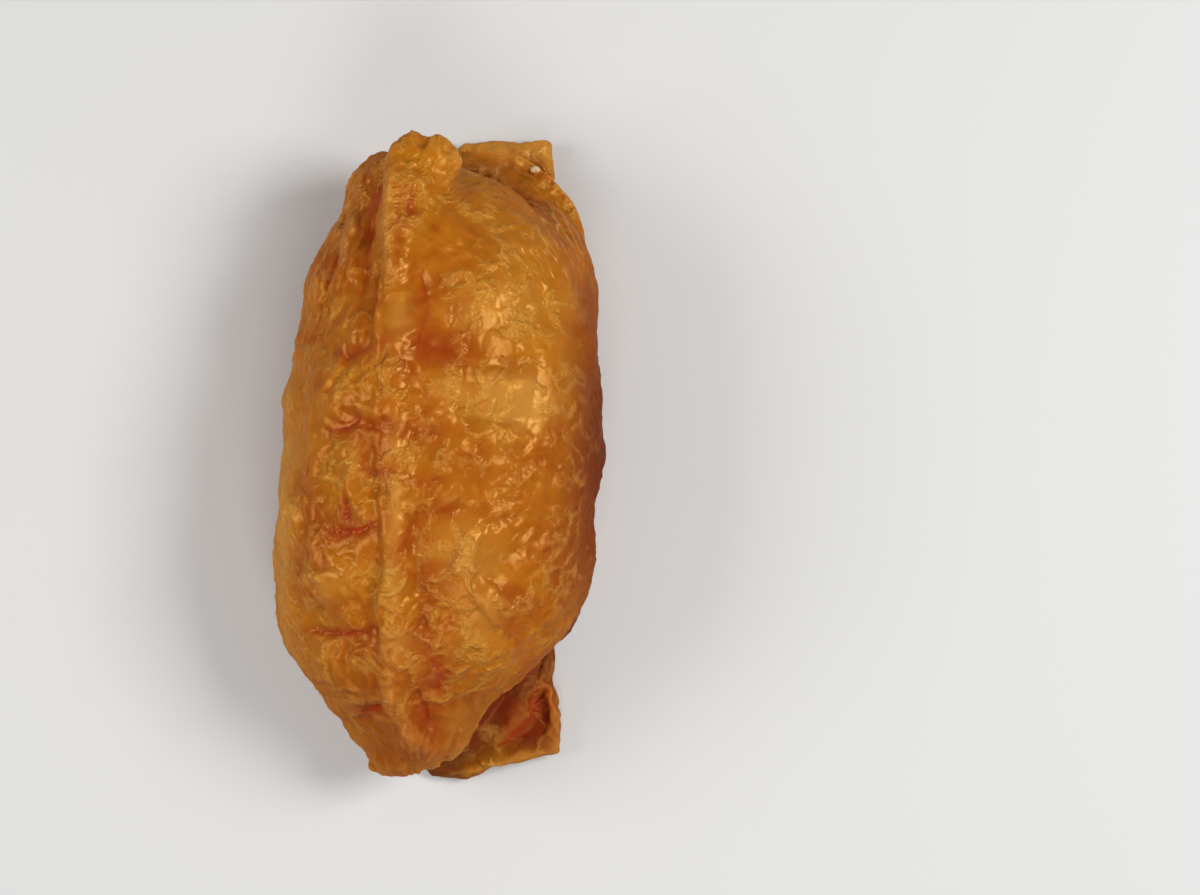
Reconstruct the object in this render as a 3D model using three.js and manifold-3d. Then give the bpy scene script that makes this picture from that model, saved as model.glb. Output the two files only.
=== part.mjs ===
// Inari sushi: a pouch of fried tofu, plump with rice, that lies on its folded-under mouth.
// Millimetres. +Z is up, +Y runs from the tail end to the head end along the pouch's closed edge,
// and +X points to the side where the cut edge of the mouth lies. The origin is under the middle.

import * as THREE from "three";
import Module from "manifold-3d";

// ---- driving sizes ----

// The loaf is the pouch around its rice, without the lips that stick out of it.
const LOAF = {
  tailY: -41.0,
  headY: 38.9,
  highestY: -2,
  height: 30.4,
  waist: 0.42, // share of the height at which a section is broadest
  upperRound: 2.25, // superellipse exponents of a section's two halves
  lowerRound: 2.9,
  crownShift: -1.6, // the crown of a section leans towards the left face
  sag: 1.6, // how far the underside would reach below the table, where it is pressed flat
  rest: 0.25, // height of the flattened underside beside the folded mouth
};
// Each end narrows to a lip: its top and underside, how late they turn towards it, and the
// exponents of the section's two halves there, which undercut the lip where they are small.
const LIP = {
  head: { top: 19.5, under: 9.0, topPower: 3.4, underPower: 5, upperRound: 1.7, lowerRound: 2.0 },
  tail: { top: 12.0, under: 9.2, topPower: 2.4, underPower: 3.5, upperRound: 1.35, lowerRound: 1.5 },
};
const LIP_BLUNTNESS = 90; // higher is blunter
// The loaf's two edges in plan, each as x at y.
const LEFT_EDGE = [
  [-7.4, -41],
  [-9.0, -38.4],
  [-14.6, -31],
  [-19.6, -24],
  [-20.7, -15],
  [-19.6, 1],
  [-18.0, 13.5],
  [-16.0, 23.5],
  [-13.7, 29.6],
  [-12.3, 31.2],
  [-11.8, 33.2],
  [-10.2, 36.0],
  [-7.0, 39],
];
const RIGHT_EDGE = [
  [-2.6, -41],
  [2.3, -37.6],
  [7.7, -30.1],
  [16.8, -21.6],
  [19.6, -12.5],
  [20.6, 2],
  [20.6, 12],
  [19.8, 21],
  [18.4, 26],
  [16.0, 28.4],
  [13.5, 30.2],
  [11.4, 32.0],
  [9.2, 33.6],
  [6.6, 34.9],
  [2.6, 36.6],
  [-1.6, 39],
];

// The welt is the closed edge of the pouch: a raised fold from the head's ear to the tail's corner.
// Its left border stands up as a step and its right border sinks into the loaf. Its middle is at
// x, y and lies so far above the loaf, and wide and thick are half its width and thickness.
const WELT = [
  { x: -0.9, y: 39.6, wide: 3.7, thick: 1.3, above: 2.0 },
  { x: -1.0, y: 37.2, wide: 4.8, thick: 1.9, above: 1.3 },
  { x: -2.2, y: 33.6, wide: 3.9, thick: 2.0, above: 0.3 },
  { x: -3.6, y: 27.5, wide: 2.4, thick: 1.7, above: -0.3 },
  { x: -4.2, y: 19.0, wide: 2.9, thick: 1.7, above: -0.6 },
  { x: -4.6, y: 10.0, wide: 2.3, thick: 1.6, above: -0.5 },
  { x: -4.4, y: 0.0, wide: 2.8, thick: 1.7, above: -0.7 },
  { x: -4.0, y: -11.0, wide: 2.4, thick: 1.8, above: -0.5 },
  { x: -4.3, y: -21.0, wide: 2.7, thick: 1.7, above: -0.5 },
  { x: -4.9, y: -29.0, wide: 1.6, thick: 1.4, above: -0.2 },
  { x: -3.0, y: -35.0, wide: 1.6, thick: 1.3, above: 0.1 },
  { x: -0.9, y: -40.0, wide: 2.0, thick: 0.9, above: -0.1 },
];
const WELT_TILT = 0.3; // rise of the welt from its right border to its left, for each millimetre
const EAR = {
  baseY: 35.6, // past this the welt leaves the loaf as the head's ear
  droop: 0.3, // of the ear's tip, for each millimetre past its base
  curl: 0.05, // how its right half turns down, with the square of the distance
  // Its end has lobes: middle, width and reach of each.
  lobes: [
    { x: -4.6, width: 0.9, reach: 1.2 },
    { x: -3.1, width: 1.0, reach: 1.3 },
    { x: 0.8, width: 1.6, reach: 0.45 },
  ],
  slant: 0.07, // how its end draws back to the right, with the square of the distance
};

// Side folds of the pouch come out from under the loaf at each end, as thick leaves with a thin rim.
// The third one fills the shoulder between the loaf and the head's fold. Upper is the superellipse
// exponent above the rim.
const SIDE_FOLDS = [
  { x: 4.0, y: 21.8, halfX: 15.2, halfY: 17.0, rimZ: 6.4, rise: 9.0, drop: 5.4, upper: 1.35 },
  { x: 0.6, y: -21.8, halfX: 14.2, halfY: 17.2, rimZ: 3.9, rise: 6.4, drop: 3.2, upper: 1.35 },
  { x: 10.4, y: 24.6, halfX: 8.7, halfY: 8.9, rimZ: 6.0, rise: 13.0, drop: 5.0, upper: 2.2 },
];
const FOLD_LOWER = 2.6; // superellipse exponent below the rim

// The mouth is pressed flat and folded under the loaf, where its two layers make one strip.
// Its loose corners show at both ends on the +X side, and slanting folds join it to the loaf.
const MOUTH = {
  hiddenX: -13.0,
  cutX: 14.5,
  cutFlare: 1.0, // how much further the cut edge reaches at the tail's corner
  thick: 2.5,
  edgeRadius: 1.1,
  head: { y: 41.0, slantX: 3.0, slant: 1.0 },
  tail: { y: -38.9, slantX: -1.6, slant: 1.3, taper: 0.17, bulgeX: 2.8, bulgeWidth: 2.8, bulge: 1.3 },
  endWave: 0.18,
  curl: 1.3, // lift of the two loose ends
  sink: 1.0, // lift of its hidden side into the loaf
  pad: { x: 12.4, y: -31.0, reachX: 1.6, reachY: 2.6, height: 0.8 }, // fills it out by the tail's fold
};

// Pinches across the left face, from the edge of the face to the welt: the puffs lie between them.
const PINCHES = [
  { y: 12.8, from: -13.0, to: -8.2, depth: 0.8, width: 1.6 },
  { y: 3.6, from: -14.4, to: -8.8, depth: 0.8, width: 1.6 },
  { y: -9.4, from: -14.8, to: -6.4, depth: 0.8, width: 1.5 },
  { y: -22.4, from: -17.0, to: -6.2, depth: 0.8, width: 1.5 },
  { y: -32.4, from: -9.8, to: -6.6, depth: 0.9, width: 1.5 },
];
// Creases of the upper side: [x, y] of both ends, depth and width. A negative depth is a bulge.
const CREASES = [
  { a: [-2.6, 33.4], b: [-3.4, 30.0], depth: 0.4, width: 1.5 },
  { a: [-3.4, 13.9], b: [3.8, 13.4], depth: 0.7, width: 2.4 },
  { a: [-3.2, 3.4], b: [2.6, 2.0], depth: 0.4, width: 1.2 },
  { a: [3.8, -5.3], b: [-4.0, -12.0], depth: 0.5, width: 1.4 },
  { a: [-1.2, -12.0], b: [-0.4, -26.4], depth: 0.4, width: 1.3 },
  { a: [-2.4, -29.0], b: [0.4, -35.6], depth: 0.7, width: 1.3 },
  { a: [1.8, 7.6], b: [13.0, 4.8], depth: 0.6, width: 1.5 },
  { a: [-15.6, 31.0], b: [-11.6, 29.4], depth: 0.9, width: 1.2 },
  { a: [3.5, 9.6], b: [12.5, 8.4], depth: -0.9, width: 2.6 },
  { a: [2.6, -11.5], b: [5.5, -12.5], depth: -0.8, width: 3.0 },
  { a: [6.0, -19.5], b: [8.5, -16.5], depth: -0.8, width: 3.0 },
  { a: [-14.5, -14.0], b: [-13.5, -18.5], depth: -0.7, width: 2.6 },
  // long folds that run with the left face
  { a: [-6.8, 37.4], b: [-9.0, 18.0], depth: 1.4, width: 1.5 },
  { a: [-11.4, 32.0], b: [-14.3, 17.0], depth: 0.7, width: 1.3 },
  { a: [-16.6, 15.0], b: [-17.4, -24.0], depth: 0.5, width: 1.2 },
];
// The side seams run down the two ends between grooves: the path of each groove as [x, y, z].
const SEAM_GROOVES = [
  {
    path: [[3.4, 36.4, 19.0], [0.6, 38.6, 14.0], [-1.2, 39.0, 9.0], [0.0, 39.0, 3.0]],
    depth: 1.2,
    width: 1.3,
  },
  {
    path: [[-6.8, 38.4, 20.0], [-5.4, 39.0, 14.0], [-5.0, 39.0, 8.0], [-5.4, 38.8, 3.0]],
    depth: 0.9,
    width: 1.2,
  },
  {
    path: [[0.6, -38.6, 12.0], [-2.2, -40.6, 9.6], [-2.8, -40.0, 7.4]],
    depth: 0.7,
    width: 1.0,
  },
];
// Soft unevenness of the filled pouch: two sizes of swelling, each with its height.
const SWELLINGS = [
  { size: 7.0, height: 0.75 },
  { size: 3.6, height: 0.45 },
];
const FOLD_UNEVENNESS = 0.7; // share of the swellings' height on the welt, side folds and mouth

// How finely the surfaces are divided.
const LOAF_RINGS = 64;
const LOAF_SIDES = 54;
const WELT_RINGS = 56;
const WELT_SIDES = 12;
const FOLD_RINGS = 18;
const FOLD_SIDES = 32;
const MOUTH_CELLS_X = 16;
const MOUTH_CELLS_Y = 32;

const COLOURS = { skin: 0xae6421 };

// Moves the middle of the pouch's outline over the origin.
const PLACE = { x: -0.17, y: 0.4 };

// ---- small functions ----

const clamp = THREE.MathUtils.clamp;
const lerp = THREE.MathUtils.lerp;
const smooth = (low, high, x) => {
  const t = clamp((x - low) / (high - low), 0, 1);
  return t * t * (3 - 2 * t);
};
const bell = (distance, width) => Math.exp(-((distance / width) ** 2));

// A value that runs smoothly through [value, at] pairs, as a Catmull-Rom curve does.
function smoothThrough(pairs, at) {
  const n = pairs.length;
  const rising = pairs[n - 1][1] > pairs[0][1];
  const rows = rising ? pairs : [...pairs].reverse();
  let i = 0;
  while (i < n - 2 && rows[i + 1][1] < at) i++;
  const [before, here, next, after] = [
    rows[Math.max(i - 1, 0)],
    rows[i],
    rows[i + 1],
    rows[Math.min(i + 2, n - 1)],
  ];
  const span = next[1] - here[1];
  const t = clamp((at - here[1]) / span, 0, 1);
  const slope = (a, b) => ((b[0] - a[0]) / (b[1] - a[1])) * span;
  const t2 = t * t;
  const t3 = t2 * t;
  return (
    (2 * t3 - 3 * t2 + 1) * here[0] +
    (t3 - 2 * t2 + t) * slope(before, next) +
    (3 * t2 - 2 * t3) * next[0] +
    (t3 - t2) * slope(here, after)
  );
}

// Distance in plan from (x, y) to the line from a to b.
function distanceToLine(x, y, a, b) {
  const dx = b[0] - a[0];
  const dy = b[1] - a[1];
  const t = clamp(((x - a[0]) * dx + (y - a[1]) * dy) / (dx * dx + dy * dy), 0, 1);
  return Math.hypot(x - a[0] - t * dx, y - a[1] - t * dy);
}

// Distance from point p to a path of straight stretches in space.
function distanceToPath(p, path) {
  const near = new THREE.Vector3();
  const points = path.map((point) => new THREE.Vector3(...point));
  const stretches = points.slice(1).map((end, i) => new THREE.Line3(points[i], end));
  return Math.min(...stretches.map((line) => line.closestPointToPoint(p, true, near).distanceTo(p)));
}

// Smooth noise from -1 to 1 with features about one unit apart.
function noise(x, y, z) {
  const lattice = (i, j, k) => {
    const s = Math.sin(i * 127.1 + j * 311.7 + k * 74.7) * 43758.5453;
    return s - Math.floor(s);
  };
  const ease = (t) => t * t * (3 - 2 * t);
  const [i, j, k] = [Math.floor(x), Math.floor(y), Math.floor(z)];
  const [u, v, w] = [ease(x - i), ease(y - j), ease(z - k)];
  const row = (b, c) => lerp(lattice(i, j + b, k + c), lattice(i + 1, j + b, k + c), u);
  return 2 * lerp(lerp(row(0, 0), row(1, 0), v), lerp(row(0, 1), row(1, 1), v), w) - 1;
}

// ---- the loaf ----

// The loaf's section at y: its middle, half width, broadest level, and the height and superellipse
// exponent of the half above and the half below that level.
function loafSection(y) {
  const end = y > LOAF.highestY ? "head" : "tail";
  const reach = end === "head" ? LOAF.headY : LOAF.tailY;
  const share = clamp((y - LOAF.highestY) / (reach - LOAF.highestY), 0, 1);
  const lip = LIP[end];
  const blunt = Math.sqrt(1 - share ** LIP_BLUNTNESS);
  const top = lerp(lip.top, LOAF.height, (1 - share ** lip.topPower) ** 0.8);
  const under = lerp(-LOAF.sag, lip.under, share ** lip.underPower);
  const level = lerp(under, top, LOAF.waist);
  const left = smoothThrough(LEFT_EDGE, y);
  const right = smoothThrough(RIGHT_EDGE, y);
  return {
    middle: (left + right) / 2,
    halfWidth: ((right - left) / 2) * blunt,
    level,
    up: (top - level) * blunt,
    down: (level - under) * blunt,
    upperRound: lerp(LOAF.upperRound, lip.upperRound, share ** 2),
    lowerRound: lerp(LOAF.lowerRound, lip.lowerRound, share ** 2),
  };
}

// The loaf's top surface at a place in plan.
function loafTop(x, y) {
  const s = loafSection(clamp(y, LOAF.tailY + 0.4, LOAF.headY - 0.4));
  const across = Math.min(Math.abs((x - s.middle) / Math.max(s.halfWidth, 0.1)), 0.995);
  const n = s.upperRound;
  return s.level + s.up * (1 - across ** n) ** (1 / n);
}

// A point of the plain loaf: along runs from -1 at the tail to 1 at the head, angle round the section.
function loafPoint(along, angle) {
  const centreY = (LOAF.headY + LOAF.tailY) / 2;
  const y = centreY + ((LOAF.headY - LOAF.tailY) / 2) * Math.sin((along * Math.PI) / 2);
  const s = loafSection(y);
  const c = Math.cos(angle);
  const d = Math.sin(angle);
  const [height, n] = d > 0 ? [s.up, s.upperRound] : [s.down, s.lowerRound];
  const tiny = 1e-6;
  const r =
    (Math.abs(c / (s.halfWidth + tiny)) ** n + Math.abs(d / (height + tiny)) ** n) ** (-1 / n);
  const lean = d > 0 ? LOAF.crownShift * d * d * clamp(s.up / LOAF.height, 0, 1) : 0;
  return new THREE.Vector3(s.middle + r * c + lean, y, s.level + r * d);
}

// Soft swellings of the skin at a point.
function swelling(p) {
  return SWELLINGS.reduce(
    (sum, { size, height }) =>
      sum + height * noise(p.x / size + 10, p.y / size + 20, p.z / size + 30),
    0,
  );
}

// How far the loaf's surface stands out of, or sinks into, the plain loaf.
function loafRelief(p, normal) {
  const upperSide = smooth(-0.25, 0.25, normal.z);
  let out = swelling(p);
  for (const pinch of PINCHES) {
    const d = distanceToLine(p.x, p.y, [pinch.from, pinch.y], [pinch.to, pinch.y + 0.4]);
    out -= upperSide * pinch.depth * bell(d, pinch.width);
  }
  for (const crease of CREASES) {
    const d = distanceToLine(p.x, p.y, crease.a, crease.b);
    out -= upperSide * crease.depth * bell(d, crease.width);
  }
  for (const groove of SEAM_GROOVES)
    out -= groove.depth * bell(distanceToPath(p, groove.path), groove.width);
  return out;
}

// ---- closed surfaces ----

// A closed surface of rings between two poles. pointAt(ring share, angle) gives each point.
function closedRings(rings, sides, pointAt) {
  const positions = [];
  const index = [];
  const add = (p) => positions.push(p.x, p.y, p.z) / 3 - 1;
  const first = add(pointAt(0, 0));
  for (let i = 1; i < rings; i++)
    for (let j = 0; j < sides; j++) add(pointAt(i / rings, (2 * Math.PI * j) / sides));
  const last = add(pointAt(1, 0));
  const at = (i, j) => 1 + (i - 1) * sides + (j % sides);
  for (let j = 0; j < sides; j++) {
    index.push(first, at(1, j), at(1, j + 1));
    for (let i = 1; i < rings - 1; i++) {
      index.push(at(i, j), at(i + 1, j), at(i + 1, j + 1));
      index.push(at(i, j), at(i + 1, j + 1), at(i, j + 1));
    }
    index.push(last, at(rings - 1, j + 1), at(rings - 1, j));
  }
  return facingOut(positions, index);
}

// A geometry of these triangles, turned round if they enclose a negative volume.
function facingOut(positions, index) {
  const geometry = new THREE.BufferGeometry();
  geometry.setAttribute("position", new THREE.Float32BufferAttribute(positions, 3));
  const corner = (k) => new THREE.Vector3().fromArray(positions, 3 * index[k]);
  let volume = 0;
  for (let k = 0; k < index.length; k += 3)
    volume += corner(k).dot(corner(k + 1).cross(corner(k + 2))) / 6;
  if (volume < 0)
    for (let k = 0; k < index.length; k += 3)
      [index[k + 1], index[k + 2]] = [index[k + 2], index[k + 1]];
  geometry.setIndex(index);
  return geometry;
}

// Moves each vertex along its normal by the relief there, and none below the given floor.
function relieved(geometry, reliefAt, floor = 0) {
  geometry.computeVertexNormals();
  const position = geometry.getAttribute("position");
  const normals = geometry.getAttribute("normal");
  for (let i = 0; i < position.count; i++) {
    const p = new THREE.Vector3().fromBufferAttribute(position, i);
    const normal = new THREE.Vector3().fromBufferAttribute(normals, i);
    p.addScaledVector(normal, reliefAt(p, normal));
    position.setXYZ(i, p.x, p.y, Math.max(p.z, floor));
  }
  return geometry;
}

function loafGeometry() {
  const plain = closedRings(LOAF_RINGS, LOAF_SIDES, (share, angle) => loafPoint(2 * share - 1, angle));
  return relieved(plain, loafRelief, LOAF.rest);
}

// The welt: a flattened, tilted tube along the loaf's crown, whose head end is the ear.
function weltGeometry() {
  const head = WELT[0];
  const tail = WELT[WELT.length - 1];
  const column = (key) => WELT.map((row) => [row[key], row.y]);
  const tables = Object.fromEntries(
    ["x", "wide", "thick", "above"].map((key) => [key, column(key)]),
  );
  const pointAt = (share, angle) => {
    const along = Math.sin((share - 0.5) * Math.PI);
    const y = lerp(tail.y, head.y, (along + 1) / 2);
    const round = Math.sqrt(Math.max(1 - Math.abs(along) ** 40, 0));
    const middle = smoothThrough(tables.x, y);
    const across = smoothThrough(tables.wide, y) * round * Math.cos(angle);
    const up = smoothThrough(tables.thick, y) * round * Math.sin(angle);
    const x = middle + across;
    const past = Math.max(y - EAR.baseY, 0);
    const inEar = smooth(EAR.baseY - 1, EAR.baseY + 1.5, y);
    const held = loafTop(middle, Math.min(y, EAR.baseY)) + smoothThrough(tables.above, y);
    const turned = WELT_TILT * (1 - inEar) * across + EAR.curl * inEar * Math.max(across, 0) ** 2;
    const ending = smooth(0, head.y - EAR.baseY, past);
    const lobes = EAR.lobes.reduce((sum, lobe) => sum + lobe.reach * bell(x - lobe.x, lobe.width), 0);
    const reach = ending * (lobes - EAR.slant * Math.max(across, 0) ** 2);
    return new THREE.Vector3(x, y + reach, held + up - turned - EAR.droop * past);
  };
  return relieved(closedRings(WELT_RINGS, WELT_SIDES, pointAt), foldRelief);
}

// The leaves share the loaf's swellings, but for their undersides.
function foldRelief(p, normal) {
  return FOLD_UNEVENNESS * smooth(-0.5, 0.3, normal.z) * swelling(p);
}

// A side fold: a superellipsoid, an ellipse in plan, whose upper half slopes down to a thin rim.
function sideFoldGeometry({ x, y, halfX, halfY, rimZ, rise, drop, upper }) {
  const power = (v, n) => Math.sign(v) * Math.abs(v) ** (2 / n);
  const plain = closedRings(FOLD_RINGS, FOLD_SIDES, (share, angle) => {
    const lift = (share - 0.5) * Math.PI;
    const [height, upright] = lift > 0 ? [rise, upper] : [drop, FOLD_LOWER];
    const ring = power(Math.cos(lift), upright);
    return new THREE.Vector3(
      x + halfX * Math.cos(angle) * ring,
      y + halfY * Math.sin(angle) * ring,
      rimZ + height * power(Math.sin(lift), upright),
    );
  });
  return relieved(plain, foldRelief);
}

// Where the folded mouth ends in plan at x: [tail y, head y].
function mouthEnds(x) {
  const { head, tail } = MOUTH;
  const wave = MOUTH.endWave * Math.sin(x * 1.1);
  const headY = head.y + wave - head.slant * Math.max(head.slantX - x, 0);
  const tailY =
    tail.y +
    wave -
    tail.taper * (MOUTH.cutX - x) -
    tail.bulge * bell(x - tail.bulgeX, tail.bulgeWidth) +
    (tail.slant + tail.taper) * Math.max(tail.slantX - x, 0);
  return [tailY, headY];
}

// The strip is uneven on top only, because it lies flat on its underside.
function mouthRelief(p, normal) {
  return FOLD_UNEVENNESS * smooth(0, 0.6, normal.z) * swelling(p);
}

// The folded mouth: a flat strip with rounded edges, drawn as an upper and a lower sheet that meet.
function mouthGeometry() {
  const positions = [];
  const index = [];
  const nx = MOUTH_CELLS_X;
  const ny = MOUTH_CELLS_Y;
  const spread = (k, n) => (Math.sin((k / n - 0.5) * Math.PI) + 1) / 2;
  const sheetPoint = (i, j, upper) => {
    const along = lerp(MOUTH.tail.y, MOUTH.head.y, spread(j, ny));
    const cut = MOUTH.cutX + MOUTH.cutFlare * smooth(26, 38, -along);
    const x = lerp(MOUTH.hiddenX, cut, spread(i, nx));
    const [tailY, headY] = mouthEnds(x);
    const y = lerp(tailY, headY, spread(j, ny));
    const toEdge = (distance) => 1 - Math.min(distance / MOUTH.edgeRadius, 1);
    const alongX = toEdge(Math.min(x - MOUTH.hiddenX, cut - x));
    const alongY = toEdge(Math.min(y - tailY, headY - y));
    const full = Math.sqrt(1 - alongX ** 2) * Math.sqrt(1 - alongY ** 2);
    const loose = Math.max(smooth(33, 41, y), smooth(-31, -40, y)) * smooth(-4, 8, x);
    const lift = MOUTH.curl * loose + MOUTH.sink * smooth(-9, MOUTH.hiddenX, x);
    const half = MOUTH.thick / 2;
    const { pad } = MOUTH;
    const padded = pad.height * bell((x - pad.x) / pad.reachX, 1) * bell((y - pad.y) / pad.reachY, 1);
    return [x, y, half + lift + (upper ? half + padded : -half) * full];
  };
  const vertex = new Map();
  const id = (i, j, upper) => {
    const rim = i === 0 || j === 0 || i === nx || j === ny;
    const key = `${i},${j},${rim || upper}`;
    if (!vertex.has(key)) {
      vertex.set(key, positions.length / 3);
      positions.push(...sheetPoint(i, j, upper));
    }
    return vertex.get(key);
  };
  for (let i = 0; i < nx; i++)
    for (let j = 0; j < ny; j++) {
      const up = [id(i, j, true), id(i + 1, j, true), id(i + 1, j + 1, true), id(i, j + 1, true)];
      const low = [id(i, j, false), id(i + 1, j, false), id(i + 1, j + 1, false), id(i, j + 1, false)];
      index.push(up[0], up[1], up[2], up[0], up[2], up[3]);
      index.push(low[0], low[2], low[1], low[0], low[3], low[2]);
    }
  return relieved(facingOut(positions, index), mouthRelief);
}

// ---- joining ----

const wasm = await Module();
wasm.setup();

function solid(geometry) {
  return new wasm.Manifold(
    new wasm.Mesh({
      numProp: 3,
      vertProperties: new Float32Array(geometry.getAttribute("position").array),
      triVerts: new Uint32Array(geometry.index.array),
    }),
  );
}

// All folds of the pouch are one sheet, so they are joined to one body.
function joined(geometries) {
  const whole = geometries.map(solid).reduce((sum, next) => sum.add(next));
  const mesh = whole.getMesh();
  const geometry = new THREE.BufferGeometry();
  geometry.setAttribute("position", new THREE.BufferAttribute(new Float32Array(mesh.vertProperties), 3));
  geometry.setIndex(new THREE.BufferAttribute(new Uint32Array(mesh.triVerts), 1));
  geometry.computeVertexNormals();
  return geometry;
}

const skin = new THREE.MeshStandardMaterial({ color: COLOURS.skin, roughness: 0.4, metalness: 0 });
const pouch = new THREE.Mesh(
  joined([
    loafGeometry(),
    weltGeometry(),
    ...SIDE_FOLDS.map(sideFoldGeometry),
    mouthGeometry(),
  ]),
  skin,
);
pouch.name = "pouch";
pouch.position.set(PLACE.x, PLACE.y, 0);

const inari = new THREE.Group();
inari.add(pouch);

export default inari;
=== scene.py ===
"""One inari sushi: a pouch of simmered fried tofu, plump with rice, on its folded-under mouth.

The skin starts as closed surfaces worked out with numpy: the loaf, the welt along the closed edge with
its ear, the side folds, the folded mouth and thin hems. A voxel remesh joins them to one skin, and
relief then moves that skin's points: creases, wrinkles and gathers. Shapes are in millimetres about
the pouch's own lines. PLACE moves them over the origin, and MM scales them when they become meshes.
"""

import logging
import math
from collections.abc import Callable
from dataclasses import dataclass, field
from enum import Enum

import bpy
import numpy as np
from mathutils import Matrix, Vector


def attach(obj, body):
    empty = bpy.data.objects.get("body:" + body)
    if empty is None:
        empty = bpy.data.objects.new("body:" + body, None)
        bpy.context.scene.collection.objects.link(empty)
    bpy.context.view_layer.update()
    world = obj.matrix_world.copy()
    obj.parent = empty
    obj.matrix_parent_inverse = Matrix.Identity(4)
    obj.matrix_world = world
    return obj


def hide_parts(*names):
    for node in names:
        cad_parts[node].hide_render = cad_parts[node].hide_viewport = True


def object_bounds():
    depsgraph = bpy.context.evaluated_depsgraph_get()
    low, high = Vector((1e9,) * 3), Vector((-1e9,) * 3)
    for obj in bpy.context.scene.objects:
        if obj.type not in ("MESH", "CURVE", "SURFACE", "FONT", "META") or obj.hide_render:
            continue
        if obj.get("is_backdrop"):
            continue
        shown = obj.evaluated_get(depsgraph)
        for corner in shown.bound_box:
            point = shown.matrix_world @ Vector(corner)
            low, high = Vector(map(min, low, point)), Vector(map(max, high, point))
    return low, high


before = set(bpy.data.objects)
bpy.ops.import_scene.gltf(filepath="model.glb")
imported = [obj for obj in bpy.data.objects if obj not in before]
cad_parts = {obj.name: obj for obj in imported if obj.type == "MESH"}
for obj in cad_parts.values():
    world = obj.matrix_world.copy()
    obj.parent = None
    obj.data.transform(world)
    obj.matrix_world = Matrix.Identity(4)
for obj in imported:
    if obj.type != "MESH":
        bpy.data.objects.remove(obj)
CAD_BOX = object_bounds()

Array = np.ndarray
Pairs = tuple[tuple[float, float], ...]
Path3 = tuple[tuple[float, float, float], ...]
Colour = tuple[float, float, float, float]
Vector3 = tuple[float, float, float]
PointsAt = Callable[[Array, Array], Array]
Socket = bpy.types.NodeSocket
Value = Socket | float

log = logging.getLogger("inari")

MM = 0.001
PLACE = np.array([-0.17, 0.40, 0.0])
BODY = "root"
NODE = "pouch"

# the noise: turns and scale of its random numbers, what a seed and a slope add to a place, its gain
SINE_TURNS = (127.1, 311.7, 74.7)
SINE_SCALE = 43758.5453
SEED_STEPS = np.array([1.0, 2.3, 5.1])
SEED_STARTS = np.array([0.0, 7.0, 3.0])
AXIS_SEED = 11.0
SLOPE_STEPS = (31.0, 17.0, 5.0)
SLOPE_GAIN = 1.6
CREST_MEAN = 0.55
TINY = 1e-12


# ---- numbers ----


def smooth(low: float, high: float, x: Array) -> Array:
    """Returns 0 before low, 1 past high and the cubic 3t^2 - 2t^3 between."""
    t = np.clip((x - low) / (high - low), 0.0, 1.0)
    return t * t * (3.0 - 2.0 * t)


def bell(distance: Array, width: float | Array) -> Array:
    """Returns exp(-(distance / width)^2)."""
    return np.exp(-((distance / width) ** 2))


def lerp(a: float | Array, b: float | Array, t: float | Array) -> Array:
    """Returns a + (b - a) t."""
    return a + (b - a) * t


def smooth_through(pairs: Pairs, at: Array) -> Array:
    """A curve that runs smoothly through given values, as a Catmull-Rom curve does.

    Cubic Hermite stretches, whose slope at each point is that of the line between its neighbours.

    Args:
        pairs: (value, at) pairs in the order of at, rising or falling.
        at: where the curve is read.

    Returns:
        The values there, held constant outside the pairs.
    """
    rows = np.array(sorted(pairs, key=lambda pair: pair[1]))
    values, places = rows[:, 0], rows[:, 1]
    slopes = np.empty(len(rows))
    slopes[1:-1] = (values[2:] - values[:-2]) / (places[2:] - places[:-2])
    slopes[0] = (values[1] - values[0]) / (places[1] - places[0])
    slopes[-1] = (values[-1] - values[-2]) / (places[-1] - places[-2])
    i = np.clip(np.searchsorted(places, at, side="right") - 1, 0, len(rows) - 2)
    span = places[i + 1] - places[i]
    t = np.clip((at - places[i]) / span, 0.0, 1.0)
    t2, t3 = t * t, t * t * t
    return (
        (2 * t3 - 3 * t2 + 1) * values[i]
        + (t3 - 2 * t2 + t) * span * slopes[i]
        + (3 * t2 - 2 * t3) * values[i + 1]
        + (t3 - t2) * span * slopes[i + 1]
    )


def unit(vectors: Array) -> Array:
    """Returns the vectors at length 1."""
    return vectors / np.maximum(np.linalg.norm(vectors, axis=1, keepdims=True), TINY)


def along_path(points: Array, path: Array) -> tuple[Array, Array]:
    """Finds the nearest place of a path of straight stretches, in plan or in space.

    Args:
        points: (n, 2) or (n, 3) places.
        path: (m, 2) or (m, 3) corners of the path, in order.

    Returns:
        (n,) distances to the path, and (n,) shares of its length at the nearest places.
    """
    steps = np.linalg.norm(np.diff(path, axis=0), axis=1)
    starts = np.concatenate([[0.0], np.cumsum(steps)])
    best = np.full(len(points), np.inf)
    share = np.zeros(len(points))
    for a, b, start, step in zip(path[:-1], path[1:], starts, steps):
        d = b - a
        t = np.clip((points - a) @ d / (d @ d), 0.0, 1.0)
        distance = np.linalg.norm(points - a - t[:, None] * d, axis=1)
        nearer = distance < best
        best = np.where(nearer, distance, best)
        share = np.where(nearer, (start + t * step) / starts[-1], share)
    return best, share


def lattice(i: Array, j: Array, k: Array) -> Array:
    """Returns a fixed random number from 0 to 1 for each whole (i, j, k)."""
    a, b, c = SINE_TURNS
    s = np.sin(i * a + j * b + k * c) * SINE_SCALE
    return s - np.floor(s)


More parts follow.
